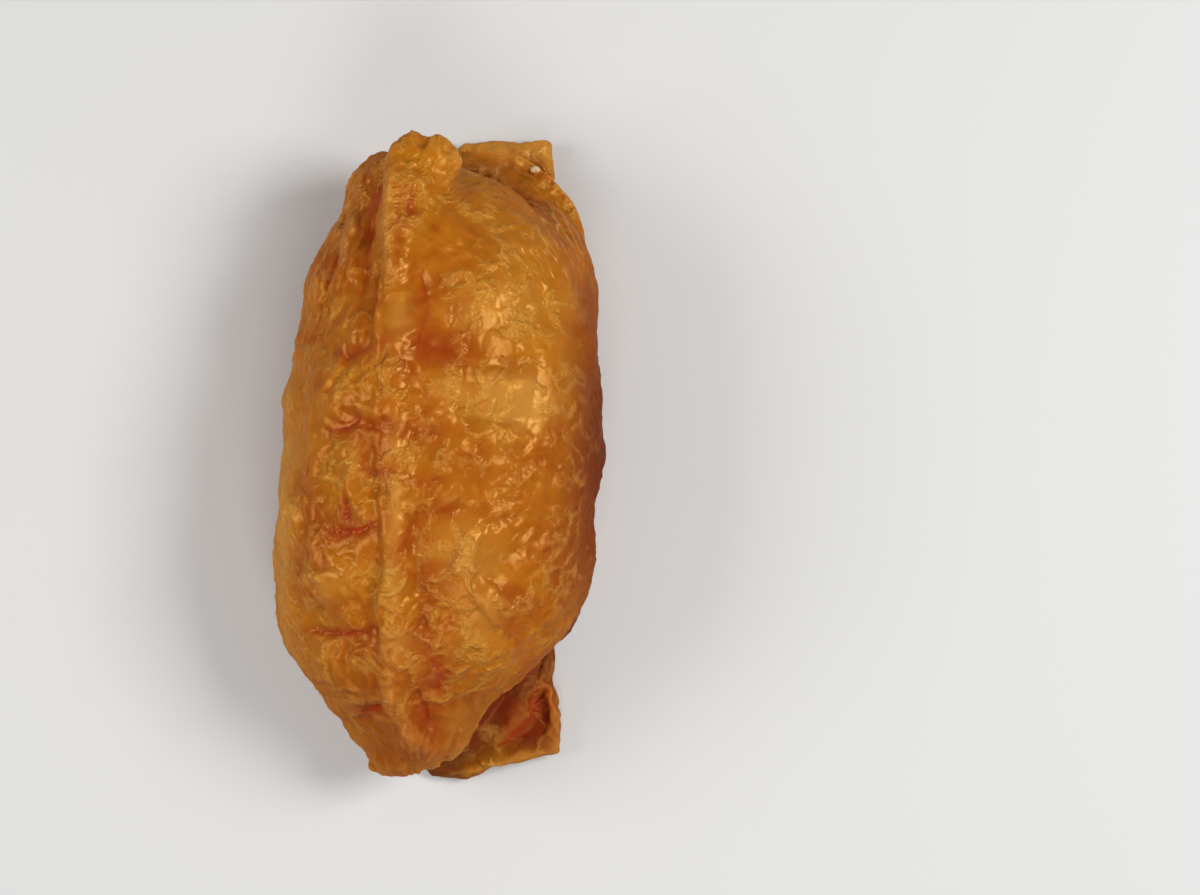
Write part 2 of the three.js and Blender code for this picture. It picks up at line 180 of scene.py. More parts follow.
def blend_corners(p: Array, corner_value: Callable[[Array, Array, Array], Array]) -> Array:
    """Blends the values of the eight lattice corners round each point with the cubic ease.

    Args:
        p: (n, 3) points.
        corner_value: gives the (n,) value of a corner from (whole parts, offset, fraction - offset).

    Returns:
        (n,) blended values.
    """
    whole = np.floor(p)
    fraction = p - whole
    ease = fraction * fraction * (3.0 - 2.0 * fraction)
    total = np.zeros(len(p))
    for a in (0, 1):
        for b in (0, 1):
            for c in (0, 1):
                offset = np.array([a, b, c], float)
                weight = np.prod(np.where(offset > 0, ease, 1.0 - ease), axis=1)
                total += weight * corner_value(whole, offset, fraction - offset)
    return total


def value_noise(p: Array) -> Array:
    """Returns smooth noise from -1 to 1 from a random value at each lattice corner."""
    return 2.0 * blend_corners(p, lambda whole, offset, _: lattice(*(whole + offset).T)) - 1.0


def gradient_noise(p: Array) -> Array:
    """Smooth noise from a random slope at each lattice corner.

    Args:
        p: (n, 3) points.

    Returns:
        (n,) values of about -1 to 1.
    """

    def slope_value(whole: Array, offset: Array, rest: Array) -> Array:
        """How high the random slope of a corner has risen at the points.

        Args:
            whole: (n, 3) whole parts of the points.
            offset: (3,) the corner, from the whole parts.
            rest: (n, 3) the points, from the corner.

        Returns:
            (n,) heights.
        """
        i, j, k = (whole + offset).T
        turn = 2.0 * np.pi * lattice(i, j, k)
        a, b, c = SLOPE_STEPS
        rise = 2.0 * lattice(i + a, j + b, k + c) - 1.0
        flat = np.sqrt(1.0 - rise * rise)
        return rest[:, 0] * flat * np.cos(turn) + rest[:, 1] * flat * np.sin(turn) + rest[:, 2] * rise

    return SLOPE_GAIN * blend_corners(p, slope_value)


def shifted(p: Array, size: float, seed: float) -> Array:
    """Returns points scaled so that noise has features of this size, at a place of their own."""
    return p / size + (SEED_STEPS * seed + SEED_STARTS)


def crested(q: Array, height: float, sharpness: float) -> Array:
    """Returns height times (1 - |n|)^sharpness less its mean of about a half, n being noise at q."""
    n = np.clip(np.abs(gradient_noise(q)), 0, 1)
    return height * ((1 - n) ** sharpness - CREST_MEAN)


@dataclass(frozen=True)
class Wobble:
    """Soft noise that moves points about: size of its features, reach of the moves, and seed."""

    size: float
    reach: float
    seed: float

    def at(self, p: Array) -> Array:
        """Returns the (n, 3) points, moved, so that what is drawn on them is uneven."""
        seeds = (self.seed + AXIS_SEED * axis for axis in range(3))
        moves = [gradient_noise(shifted(p, self.size, seed)) for seed in seeds]
        return p + self.reach * np.stack(moves, axis=1)


def wobbled(p: Array, wobbles: tuple[Wobble, ...]) -> Array:
    """Returns the (n, 3) points, moved by each wobble in turn."""
    for wobble in wobbles:
        p = wobble.at(p)
    return p


@dataclass(frozen=True)
class Mottle:
    """A strength that varies with soft noise: its mean, its spread, size of its features, and seed."""

    mean: float
    spread: float
    size: float
    seed: float

    def at(self, p: Array) -> Array:
        """Returns the strength at each point."""
        return self.mean + self.spread * gradient_noise(shifted(p, self.size, self.seed))


@dataclass(frozen=True)
class Rise:
    """A smooth step, from 0 before low to its strength past high. It falls where low is the greater."""

    low: float
    high: float
    strength: float = 1.0

    def at(self, x: Array) -> Array:
        """Returns the step's height at each value."""
        return self.strength * smooth(self.low, self.high, x)


@dataclass(frozen=True)
class Zone:
    """A soft-edged part of the skin: steps along x, y and z, and with how far the skin faces up."""

    x: Rise | None = None
    y: Rise | None = None
    z: Rise | None = None
    facing: Rise | None = None

    def at(self, p: Array, normal: Array) -> Array:
        """Multiplies the zone's steps.

        Args:
            p: (n, 3) points of the skin.
            normal: (n, 3) normals there.

        Returns:
            (n,) values, up to 1 inside the zone.
        """
        inside = np.ones(len(p))
        steps = ((self.x, p[:, 0]), (self.y, p[:, 1]), (self.facing, normal[:, 2]), (self.z, p[:, 2]))
        for rise, values in steps:
            if rise is not None:
                inside = inside * rise.at(values)
        return inside


# ---- meshes ----


@dataclass
class Shell:
    """A surface as points in millimetres and the triangles between them."""

    points: Array
    triangles: Array

    def facing_out(self) -> "Shell":
        """Returns the shell with its triangles turned round if they enclose a negative volume."""
        a, b, c = (self.points[self.triangles[:, k]] for k in range(3))
        if np.einsum("ij,ij->i", a, np.cross(b, c)).sum() < 0:
            self.triangles = self.triangles[:, ::-1]
        return self

    def normals(self) -> Array:
        """Returns each point's normal: the sum of its triangles' normals, weighted by area."""
        a, b, c = (self.points[self.triangles[:, k]] for k in range(3))
        face = np.cross(b - a, c - a)
        total = np.zeros_like(self.points)
        for axis in range(3):
            for k in range(3):
                total[:, axis] += np.bincount(
                    self.triangles[:, k], weights=face[:, axis], minlength=len(self.points)
                )
        return unit(total)

    def lifted(self, relief: Array, floor: float = 0.0) -> "Shell":
        """Moves each point along its normal.

        Args:
            relief: (n,) distances.
            floor: lowest height that a point may have afterwards.

        Returns:
            This shell.
        """
        self.points = self.points + relief[:, None] * self.normals()
        self.points[:, 2] = np.maximum(self.points[:, 2], floor)
        return self

    def relaxed(self, rounds: int) -> Array:
        """Moves each point half way to the mean of its neighbours, this many times.

        Args:
            rounds: how many times.

        Returns:
            The new (n, 3) points. The shell keeps its own.
        """
        pairs = np.concatenate([self.triangles[:, side] for side in ([0, 1], [1, 2], [2, 0])])
        pairs = np.unique(np.sort(pairs, axis=1), axis=0)
        here, there = np.concatenate([pairs, pairs[:, ::-1]]).T
        count = np.bincount(here, minlength=len(self.points)).astype(float)
        points = self.points.copy()
        for _ in range(rounds):
            for k in range(3):
                mean = np.bincount(here, weights=points[there, k], minlength=len(points)) / count
                points[:, k] += 0.5 * (mean - points[:, k])
        return points

    @staticmethod
    def joined(shells: list["Shell"]) -> "Shell":
        """Returns all shells as one, each still closed in itself."""
        starts = np.cumsum([0] + [len(shell.points) for shell in shells[:-1]])
        triangles = [shell.triangles + start for shell, start in zip(shells, starts)]
        return Shell(np.concatenate([s.points for s in shells]), np.concatenate(triangles))


def closed_rings(rings: int, sides: int, point_at: PointsAt) -> Shell:
    """A closed surface of rings between two poles.

    Args:
        rings: how many steps there are from pole to pole.
        sides: points in a ring.
        point_at: gives (n, 3) points from (n,) shares of the way between the poles and (n,) angles.

    Returns:
        The closed shell, facing out.
    """
    share, angle = np.meshgrid(
        np.arange(1, rings) / rings, 2 * np.pi * np.arange(sides) / sides, indexing="ij"
    )
    poles = point_at(np.array([0.0, 1.0]), np.zeros(2))
    points = np.concatenate([poles[:1], point_at(share.ravel(), angle.ravel()), poles[1:]])
    at = 1 + np.arange((rings - 1) * sides).reshape(rings - 1, sides)
    here, there = at, np.roll(at, -1, axis=1)
    a, b, c, d = here[:-1].ravel(), here[1:].ravel(), there[1:].ravel(), there[:-1].ravel()
    last = np.full(sides, len(points) - 1)
    triangles = np.concatenate([
        np.stack([np.zeros(sides, int), here[0], there[0]], axis=1),
        np.stack([a, b, c], axis=1),
        np.stack([a, c, d], axis=1),
        np.stack([last, there[-1], here[-1]], axis=1),
    ])
    return Shell(points, triangles).facing_out()


def mesh_object(name: str, points: Array, triangles: Array) -> bpy.types.Object:
    """Makes a Blender object of triangles, at the origin.

    Args:
        name: name of the object and its mesh.
        points: (n, 3) places in metres.
        triangles: (m, 3) point numbers.

    Returns:
        The object, linked to the scene.
    """
    mesh = bpy.data.meshes.new(name)
    mesh.vertices.add(len(points))
    mesh.vertices.foreach_set("co", points.astype(np.float32).ravel())
    mesh.loops.add(triangles.size)
    mesh.loops.foreach_set("vertex_index", triangles.astype(np.int32).ravel())
    mesh.polygons.add(len(triangles))
    mesh.polygons.foreach_set("loop_start", np.arange(0, triangles.size, 3, dtype=np.int32))
    mesh.polygons.foreach_set("use_smooth", np.ones(len(triangles), bool))
    mesh.update(calc_edges=True)
    mesh.validate()
    piece = bpy.data.objects.new(name, mesh)
    bpy.context.scene.collection.objects.link(piece)
    return piece


def store(piece: bpy.types.Object, name: str, values: Array) -> None:
    """Keeps a number or a vector for each point of a piece as the attribute of that name."""
    kind, key = ("FLOAT", "value") if values.ndim == 1 else ("FLOAT_VECTOR", "vector")
    attribute = piece.data.attributes.new(name, kind, "POINT")
    attribute.data.foreach_set(key, values.astype(np.float32).ravel())


# ---- the pouch's surfaces ----


class End(Enum):
    """The two ends of the pouch."""

    HEAD = "head"
    TAIL = "tail"


@dataclass(frozen=True)
class Lip:
    """How the loaf ends: the flat lip's top and underside, how late they turn towards it, its rounds."""

    top: float
    under: float
    top_power: float
    under_power: float
    upper_round: float
    lower_round: float


@dataclass(frozen=True)
class Crease:
    """A line pressed into the skin, or raised where its depth is negative.

    It is a narrow cut of depth and width, inside a soft hollow of its own depth and reach. Its red
    is painted shade: how much red-brown is painted along its line for the crease's shade and glow.
    """

    path: Pairs
    depth: float
    width: float
    hollow: float = 0.0
    reach: float = 2.0
    # painted shade: how red-brown the crease is painted, standing in for its shade and glow
    red: float = 0.3
    lowest: float = 8.0
    highest: float = 40.0
    low_fade: float = 2.0
    high_fade: float = 1.0
    bottom: float = 0.2
    red_reach: float = 0.5
    glow_reach: float = 1.4
    glow_share: float = 0.25

    def at(self, plan: Array, z: Array) -> tuple[Array, Array]:
        """How deep and how red the crease is.

        The cut is exp(-|d| / width), its bottom rounded with a radius, the hollow is bell(d, reach),
        and both fade towards the ends with (1 - (2t - 1)^4), where t is the share of the path. They
        are pressed into skin that lies between the lowest and the highest height. The red, painted
        shade, is a narrow bell inside a wide faint painted glow.

        Args:
            plan: (n, 2) places in plan.
            z: (n,) heights.

        Returns:
            (n,) depths and (n,) reds.
        """
        d, t = along_path(plan, np.array(self.path, float))
        fade = 1.0 - (2.0 * t - 1.0) ** 4
        fade *= smooth(self.lowest - self.low_fade, self.lowest + self.low_fade, z)
        fade *= smooth(self.highest + self.high_fade, self.highest - self.high_fade, z)
        cut = np.exp(-(np.hypot(d, self.bottom) - self.bottom) / self.width)
        line, glow = bell(d, self.red_reach), bell(d, self.glow_reach)
        red = self.red * lerp(line, glow, self.glow_share)
        return fade * (self.depth * cut + self.hollow * bell(d, self.reach)), fade * red


@dataclass(frozen=True)
class Patch:
    """A soft patch of colour: its middle, its reach in x and in y, and its strength."""

    x: float
    y: float
    reach_x: float
    reach_y: float
    strength: float

    def at(self, plan: Array) -> Array:
        """Returns the patch's strength times exp(-r^2), r being the distance in reaches."""
        return self.strength * np.exp(
            -(((plan[:, 0] - self.x) / self.reach_x) ** 2) - ((plan[:, 1] - self.y) / self.reach_y) ** 2
        )


def summed(spots: tuple[Patch, ...], plan: Array) -> Array:
    """Returns the sum of the patches' strengths at each place."""
    return sum(patch.at(plan) for patch in spots)


def patches(*rows: tuple[float, float, float, float, float]) -> tuple[Patch, ...]:
    """Returns a patch for each row of middle x and y, reach in x and in y, and strength."""
    return tuple(Patch(*row) for row in rows)


@dataclass(frozen=True)
class SeamGroove:
    """A groove beside a side seam, along a path in space."""

    path: Path3
    depth: float
    width: float


@dataclass(frozen=True)
class Swellings:
    """Soft unevenness of the filled pouch: sizes of swelling, each with its height."""

    steps: Pairs = ((7.0, 0.75), (3.6, 0.45))
    place: Vector3 = (10.0, 20.0, 30.0)

    def at(self, p: Array) -> Array:
        """Returns how far the skin stands out at each point."""
        place = np.array(self.place)
        return sum(height * value_noise(p / size + place) for size, height in self.steps)


@dataclass(frozen=True)
class Section:
    """The loaf's cross-sections at many places: arrays of their sizes."""

    middle: Array
    half_width: Array
    level: Array
    up: Array
    down: Array
    upper_round: Array
    lower_round: Array


@dataclass
class Loaf:
    """The pouch around its rice, without the lips and folds that stick out of it."""

    tail_y: float = -41.0
    head_y: float = 38.9
    highest_y: float = -2.0
    height: float = 30.4
    waist: float = 0.42
    upper_round: float = 2.25
    lower_round: float = 2.9
    crown_shift: float = -1.6
    sag: float = 1.6
    rest: float = 0.25
    bluntness: float = 90.0
    shoulder: float = 0.8
    end_margin: float = 0.4
    least_half: float = 0.1
    widest: float = 0.995
    lip_steps: int = 14
    lips: dict[End, Lip] = field(default_factory=lambda: {
        End.HEAD: Lip(19.5, 9.0, 3.4, 5.0, 1.7, 2.0),
        End.TAIL: Lip(12.0, 9.2, 2.4, 3.5, 1.35, 1.5),
    })
    left_edge: Pairs = (
        (-7.4, -41), (-9.0, -38.4), (-14.6, -31), (-19.6, -24), (-20.7, -15), (-19.6, 1),
        (-18.0, 13.5), (-16.0, 23.5), (-13.7, 29.6), (-12.3, 31.2), (-11.8, 33.2), (-10.2, 36.0),
        (-7.0, 39),
    )
    right_edge: Pairs = (
        (-2.6, -41), (2.3, -37.6), (7.7, -30.1), (16.8, -21.6), (19.6, -12.5), (20.6, 2),
        (20.6, 12), (19.8, 21), (18.4, 26), (16.0, 28.4), (13.5, 30.2), (11.4, 32.0), (9.2, 33.6),
        (6.6, 34.9), (2.6, 36.6), (-1.6, 39),
    )
    seam_grooves: tuple[SeamGroove, ...] = (
        SeamGroove(((3.4, 36.4, 19), (0.6, 38.6, 14), (-1.2, 39, 9), (0, 39, 3)), 1.2, 1.2),
        SeamGroove(((-6.8, 38.4, 20), (-5.4, 39, 14), (-5, 39, 8), (-5.4, 38.8, 3)), 0.9, 1.1),
        SeamGroove(((0.6, -38.6, 12), (-2.2, -40.6, 9.6), (-2.8, -40, 7.4)), 0.7, 1.0),
    )

    def section(self, y: Array) -> Section:
        """The loaf's sections.

        The top is the full height times (1 - s^a)^shoulder down to the lip, where s is the share of
        the way to the end, and the underside rises with s^b. Both edges run through their tables. At
        the very end everything shrinks with sqrt(1 - s^bluntness).

        Args:
            y: (n,) places along the pouch.

        Returns:
            The sections' sizes.
        """
        reach = np.where(y > self.highest_y, self.head_y, self.tail_y)
        share = np.clip((y - self.highest_y) / (reach - self.highest_y), 0.0, 1.0)

        def of_end(name: str) -> Array:
            """Returns this size of the head's lip or of the tail's at each place."""
            head, tail = (getattr(self.lips[end], name) for end in (End.HEAD, End.TAIL))
            return np.where(y > self.highest_y, head, tail)

        blunt = np.sqrt(1.0 - share**self.bluntness)
        top = lerp(of_end("top"), self.height, (1.0 - share ** of_end("top_power")) ** self.shoulder)
        under = lerp(-self.sag, of_end("under"), share ** of_end("under_power"))
        level = lerp(under, top, self.waist)
        left, right = smooth_through(self.left_edge, y), smooth_through(self.right_edge, y)
        return Section(
            middle=(left + right) / 2,
            half_width=(right - left) / 2 * blunt,
            level=level,
            up=(top - level) * blunt,
            down=(level - under) * blunt,
            upper_round=lerp(self.upper_round, of_end("upper_round"), share**2),
            lower_round=lerp(self.lower_round, of_end("lower_round"), share**2),
        )

    def top_at(self, x: Array, y: Array) -> Array:
        """Returns the height of the loaf's upper side at places in plan."""
        s = self.section(np.clip(y, self.tail_y + self.end_margin, self.head_y - self.end_margin))
        across = np.abs((x - s.middle) / np.maximum(s.half_width, self.least_half))
        across = np.minimum(across, self.widest)
        return s.level + s.up * (1 - across**s.upper_round) ** (1 / s.upper_round)

    def lip(self, start: float, end: float, inset: float, above: float = 0.5) -> Array:
        """Returns the path of the loaf's right edge between two places along it."""
        y = np.linspace(start, end, self.lip_steps)
        s = self.section(y)
        return np.stack([s.middle + s.half_width - inset, y, s.level + above], axis=1)

    def point_at(self, share: Array, angle: Array) -> Array:
        """Points of the plain loaf.

        Each section is a superellipse |x/w|^n + |z/h|^n = 1 whose halves above and below its level
        have their own h and n, and its upper half leans by crown_shift times sin(angle)^2.

        Args:
            share: (n,) shares of the way from the tail to the head.
            angle: (n,) angles round the section.

        Returns:
            (n, 3) points.
        """
        along = np.sin((2 * share - 1) * np.pi / 2)
        y = (self.head_y + self.tail_y) / 2 + (self.head_y - self.tail_y) / 2 * along
        s = self.section(y)
        c, d = np.cos(angle), np.sin(angle)
        height = np.where(d > 0, s.up, s.down)
        n = np.where(d > 0, s.upper_round, s.lower_round)
        least = 1e-6
        r = (np.abs(c / (s.half_width + least)) ** n + np.abs(d / (height + least)) ** n) ** (-1 / n)
        lean = np.where(d > 0, self.crown_shift * d * d * np.clip(s.up / self.height, 0, 1), 0)
        return np.stack([s.middle + r * c + lean, y, s.level + r * d], axis=1)

    def relief(self, p: Array, swellings: Swellings) -> Array:
        """How far the loaf's skin stands out of the plain loaf: swellings less the seams' grooves.

        Args:
            p: (n, 3) points.
            swellings: the skin's soft swellings.

        Returns:
            (n,) distances along the normal.
        """
        out = swellings.at(p)
        for groove in self.seam_grooves:
            distance, _ = along_path(p, np.array(groove.path, float))
            out -= groove.depth * bell(distance, groove.width)
        return out

    def shell(self, rings: int, sides: int, swellings: Swellings) -> Shell:
        """Returns the loaf with its relief, in this many rings and sides."""
        plain = closed_rings(rings, sides, self.point_at)
        return plain.lifted(self.relief(plain.points, swellings), self.rest)


@dataclass(frozen=True)
class EarLobe:
    """A lobe of the ear's end: its middle, width and reach."""

    x: float
    width: float
    reach: float


@dataclass
class Welt:
    """The closed edge of the pouch: a raised fold from the head's ear to the tail's corner."""

    rows: tuple[tuple[float, float, float, float, float], ...] = (
        # x, y, half width, half thickness, how far its middle lies above the loaf
        (-0.9, 39.6, 3.7, 1.3, 2.0),
        (-1.0, 37.2, 4.8, 1.9, 1.3),
        (-2.2, 33.6, 3.9, 2.0, 0.3),
        (-3.6, 27.5, 2.4, 1.7, -0.3),
        (-4.2, 19.0, 2.9, 1.7, -0.6),
        (-4.6, 10.0, 2.3, 1.6, -0.5),
        (-4.4, 0.0, 2.8, 1.7, -0.7),
        (-4.0, -11.0, 2.4, 1.8, -0.5),
        (-4.3, -21.0, 2.7, 1.7, -0.5),
        (-4.9, -29.0, 1.6, 1.4, -0.2),
        (-3.0, -35.0, 1.6, 1.3, 0.1),
        (-0.9, -40.0, 2.0, 0.9, -0.1),
    )
    tilt: float = 0.3
    end_power: int = 40
    ear_base_y: float = 35.6
    ear_turn: tuple[float, float] = (-1.0, 1.5)
    ear_droop: float = 0.3
    ear_curl: float = 0.05
    ear_slant: float = 0.07
    ear_lobes: tuple[EarLobe, ...] = (
        EarLobe(-4.6, 1.05, 1.75),
        EarLobe(-2.9, 1.0, 1.35),
        EarLobe(0.8, 1.6, 0.45),
    )
    unevenness: float = 0.7

    def point_at(self, loaf: Loaf) -> PointsAt:
        """The welt as a flattened, tilted tube along the loaf's crown, whose head end is the ear.

        Across is w cos(angle) and up is t sin(angle), with w and t from the rows and closed at the
        ends by sqrt(1 - |along|^end_power). The tube lies on the loaf's top, its left border raised by
        the tilt. Past its base the ear droops, its right half curls down, and its end has lobes.

        Args:
            loaf: the loaf that carries the welt.

        Returns:
            A function of (share, angle) for closed_rings.
        """
        tail_y, head_y = self.rows[-1][1], self.rows[0][1]
        x_at, wide_at, thick_at, above_at = (
            tuple((row[k], row[1]) for row in self.rows) for k in (0, 2, 3, 4)
        )

        def points(share: Array, angle: Array) -> Array:
            """The welt's points.

            Args:
                share: (n,) shares of its length.
                angle: (n,) angles round it.

            Returns:
                (n, 3) points.
            """
            along = np.sin((share - 0.5) * np.pi)
            y = lerp(tail_y, head_y, (along + 1) / 2)
            closing = np.sqrt(np.maximum(1 - np.abs(along) ** self.end_power, 0))
            middle = smooth_through(x_at, y)
            across = smooth_through(wide_at, y) * closing * np.cos(angle)
            up = smooth_through(thick_at, y) * closing * np.sin(angle)
            x = middle + across
            past = np.maximum(y - self.ear_base_y, 0)
            in_ear = smooth(*(self.ear_base_y + turn for turn in self.ear_turn), y)
            held = loaf.top_at(middle, np.minimum(y, self.ear_base_y)) + smooth_through(above_at, y)
            rightward = np.maximum(across, 0) ** 2
            turned = self.tilt * (1 - in_ear) * across + self.ear_curl * in_ear * rightward
            ending = smooth(0, head_y - self.ear_base_y, past)
            lobes = sum(lobe.reach * bell(x - lobe.x, lobe.width) for lobe in self.ear_lobes)
            reach = ending * (lobes - self.ear_slant * rightward)
            return np.stack([x, y + reach, held + up - turned - self.ear_droop * past], axis=1)

        return points

    def shell(self, rings: int, sides: int, loaf: Loaf, swellings: Swellings) -> Shell:
        """Returns the welt with its unevenness."""
        plain = closed_rings(rings, sides, self.point_at(loaf))
        return uneven_leaf(plain, swellings, self.unevenness)


# how far a thin leaf's skin faces up where it has swellings
LEAF_UPPER_SIDE = Rise(-0.5, 0.3)


def uneven_leaf(plain: Shell, swellings: Swellings, share: float) -> Shell:
    """Gives a thin leaf part of the loaf's swellings, but not on its underside.

    Args:
        plain: the leaf.
        swellings: the skin's soft swellings.
        share: how much of them it gets.

    Returns:
        The leaf, lifted.
    """
    upward = LEAF_UPPER_SIDE.at(plain.normals()[:, 2])
    return plain.lifted(share * upward * swellings.at(plain.points))


@dataclass(frozen=True)
class SideFold:
    """A fold of the pouch that comes out from under the loaf, as a thick leaf with a thin rim."""

    x: float
    y: float
    half_x: float
    half_y: float
    rim_z: float
    rise: float
    drop: float
    upper: float = 1.35
    lower: float = 2.6
    unevenness: float = 0.7

    def point_at(self, share: Array, angle: Array) -> Array:
        """Points of a superellipsoid, an ellipse in plan.

        With lift from -90 to 90 degrees, the ring shrinks with cos(lift)^(2/n) and the height goes
        with sin(lift)^(2/n), where n is upper above the rim and lower below it.

        Args:
            share: (n,) shares of the way from the lowest to the highest point.
            angle: (n,) angles in plan.

        Returns:
            (n, 3) points.
        """
        lift = (share - 0.5) * np.pi
        height = np.where(lift > 0, self.rise, self.drop)
        power = 2 / np.where(lift > 0, self.upper, self.lower)
        ring = np.abs(np.cos(lift)) ** power
        return np.stack([
            self.x + self.half_x * np.cos(angle) * ring,
            self.y + self.half_y * np.sin(angle) * ring,
            self.rim_z + height * np.sign(lift) * np.abs(np.sin(lift)) ** power,
        ], axis=1)

    def rim(self, start: float, end: float, steps: int = 24) -> Array:
        """Returns points along the rim between two angles in degrees."""
        angle = np.radians(np.linspace(start, end, steps))
        x, y = self.x + self.half_x * np.cos(angle), self.y + self.half_y * np.sin(angle)
        return np.stack([x, y, np.full(steps, self.rim_z)], axis=1)

    def shell(self, rings: int, sides: int, swellings: Swellings) -> Shell:
        """Returns the side fold with its unevenness."""
        return uneven_leaf(closed_rings(rings, sides, self.point_at), swellings, self.unevenness)


@dataclass
class Mouth:
    """The pouch's mouth, pressed flat and folded under the loaf, where its two layers are one strip."""

    hidden_x: float = -13.0
    cut_x: float = 14.5
    cut_flare: float = 1.0
    thick: float = 2.5
    edge_radius: float = 1.1
    head_y: float = 41.0
    head_slant_x: float = 3.0
    head_slant: float = 1.0
    tail_y: float = -38.9
    tail_slant_x: float = -1.6
    tail_slant: float = 1.3
    tail_taper: float = 0.17
    tail_bulge_x: float = 2.8
    tail_bulge_width: float = 2.8
    tail_bulge: float = 1.3
    end_wave: float = 0.18
    end_wave_turn: float = 1.1
    cut_wave_turn: float = 0.9
    flare: Rise = Rise(-26.0, -38.0)
    loose_head: Rise = Rise(33.0, 41.0)
    loose_tail: Rise = Rise(-31.0, -40.0)
    loose_side: Rise = Rise(-4.0, 8.0)
    curl: float = 1.3
    sink: float = 1.0
    sink_x: float = -9.0
    pad: Patch = Patch(12.4, -31.0, 1.6, 2.6, 0.8)
    unevenness: float = 0.7
    upper_side: Rise = Rise(0.0, 0.6)

    def ends(self, x: Array) -> tuple[Array, Array]:
        """Where the strip ends in plan.

        Both ends wave a little with a sine of x and slant past an x of their own. The tail also tapers
        and bulges.

        Args:
            x: places across the strip.

        Returns:
            Where it ends there, at the tail and at the head.
        """
        wave = self.end_wave * np.sin(x * self.end_wave_turn)
        head = self.head_y + wave - self.head_slant * np.maximum(self.head_slant_x - x, 0)
        tail = (
            self.tail_y
            + wave
            - self.tail_taper * (self.cut_x - x)
            - self.tail_bulge * bell(x - self.tail_bulge_x, self.tail_bulge_width)
            + (self.tail_slant + self.tail_taper) * np.maximum(self.tail_slant_x - x, 0)
        )
        return tail, head

    def shell(self, cells_x: int, cells_y: int, swellings: Swellings) -> Shell:
        """The strip as an upper and a lower sheet that meet at its rim.

        Both sheets are the thickness times sqrt(1 - e^2) off its middle, where e runs from 0 to 1
        over the last edge_radius before the rim. The loose ends curl up, and so does the hidden side.

        Args:
            cells_x: steps across the strip.
            cells_y: steps along it.
            swellings: the skin's soft swellings, which it has on top only.

        Returns:
            The closed shell.
        """
        u, v = np.meshgrid(np.arange(cells_x + 1), np.arange(cells_y + 1), indexing="ij")
        spread_x = (np.sin((u / cells_x - 0.5) * np.pi) + 1) / 2
        spread_y = (np.sin((v / cells_y - 0.5) * np.pi) + 1) / 2
        along = lerp(self.tail_y, self.head_y, spread_y)
        wave = self.end_wave * np.sin(along * self.cut_wave_turn)
        cut = self.cut_x + self.cut_flare * self.flare.at(along) + wave
        x = lerp(self.hidden_x, cut, spread_x)
        tail, head = self.ends(x)
        y = lerp(tail, head, spread_y)
        near_x = 1 - np.minimum(np.minimum(x - self.hidden_x, cut - x) / self.edge_radius, 1)
        near_y = 1 - np.minimum(np.minimum(y - tail, head - y) / self.edge_radius, 1)
        full = np.sqrt(np.maximum(1 - near_x**2, 0) * np.maximum(1 - near_y**2, 0))
        loose = np.maximum(self.loose_head.at(y), self.loose_tail.at(y)) * self.loose_side.at(x)
        lift = self.curl * loose + self.sink * smooth(self.sink_x, self.hidden_x, x)
        half = self.thick / 2
        upper = np.stack([x, y, half + lift + half * full], axis=2).reshape(-1, 3)
        upper[:, 2] += full.ravel() * self.pad.at(upper[:, :2])
        lower = np.stack([x, y, half + lift - half * full], axis=2).reshape(-1, 3)
        inner = np.zeros(u.shape, bool)
        inner[1:-1, 1:-1] = True
        top_ids = np.arange(u.size).reshape(u.shape)
        low_ids = np.where(inner, u.size + np.cumsum(inner.ravel()).reshape(u.shape) - 1, top_ids)
        points = np.concatenate([upper, lower[inner.ravel()]])

        def sheet(ids: Array, flip: bool) -> Array:
            """The triangles of a sheet.

            Args:
                ids: point numbers of its grid.
                flip: whether the triangles are turned over.

            Returns:
                (m, 3) point numbers.
            """
            a, b, c, d = (ids[:-1, :-1], ids[1:, :-1], ids[1:, 1:], ids[:-1, 1:])
            a, b, c, d = (q.ravel() for q in (a, b, c, d))
            faces = np.concatenate([np.stack([a, b, c], axis=1), np.stack([a, c, d], axis=1)])
            return faces[:, ::-1] if flip else faces

        strip = Shell(points, np.concatenate([sheet(top_ids, False), sheet(low_ids, True)]))
        strip.facing_out()
        upward = self.upper_side.at(strip.normals()[:, 2])
        return strip.lifted(self.unevenness * upward * swellings.at(strip.points))


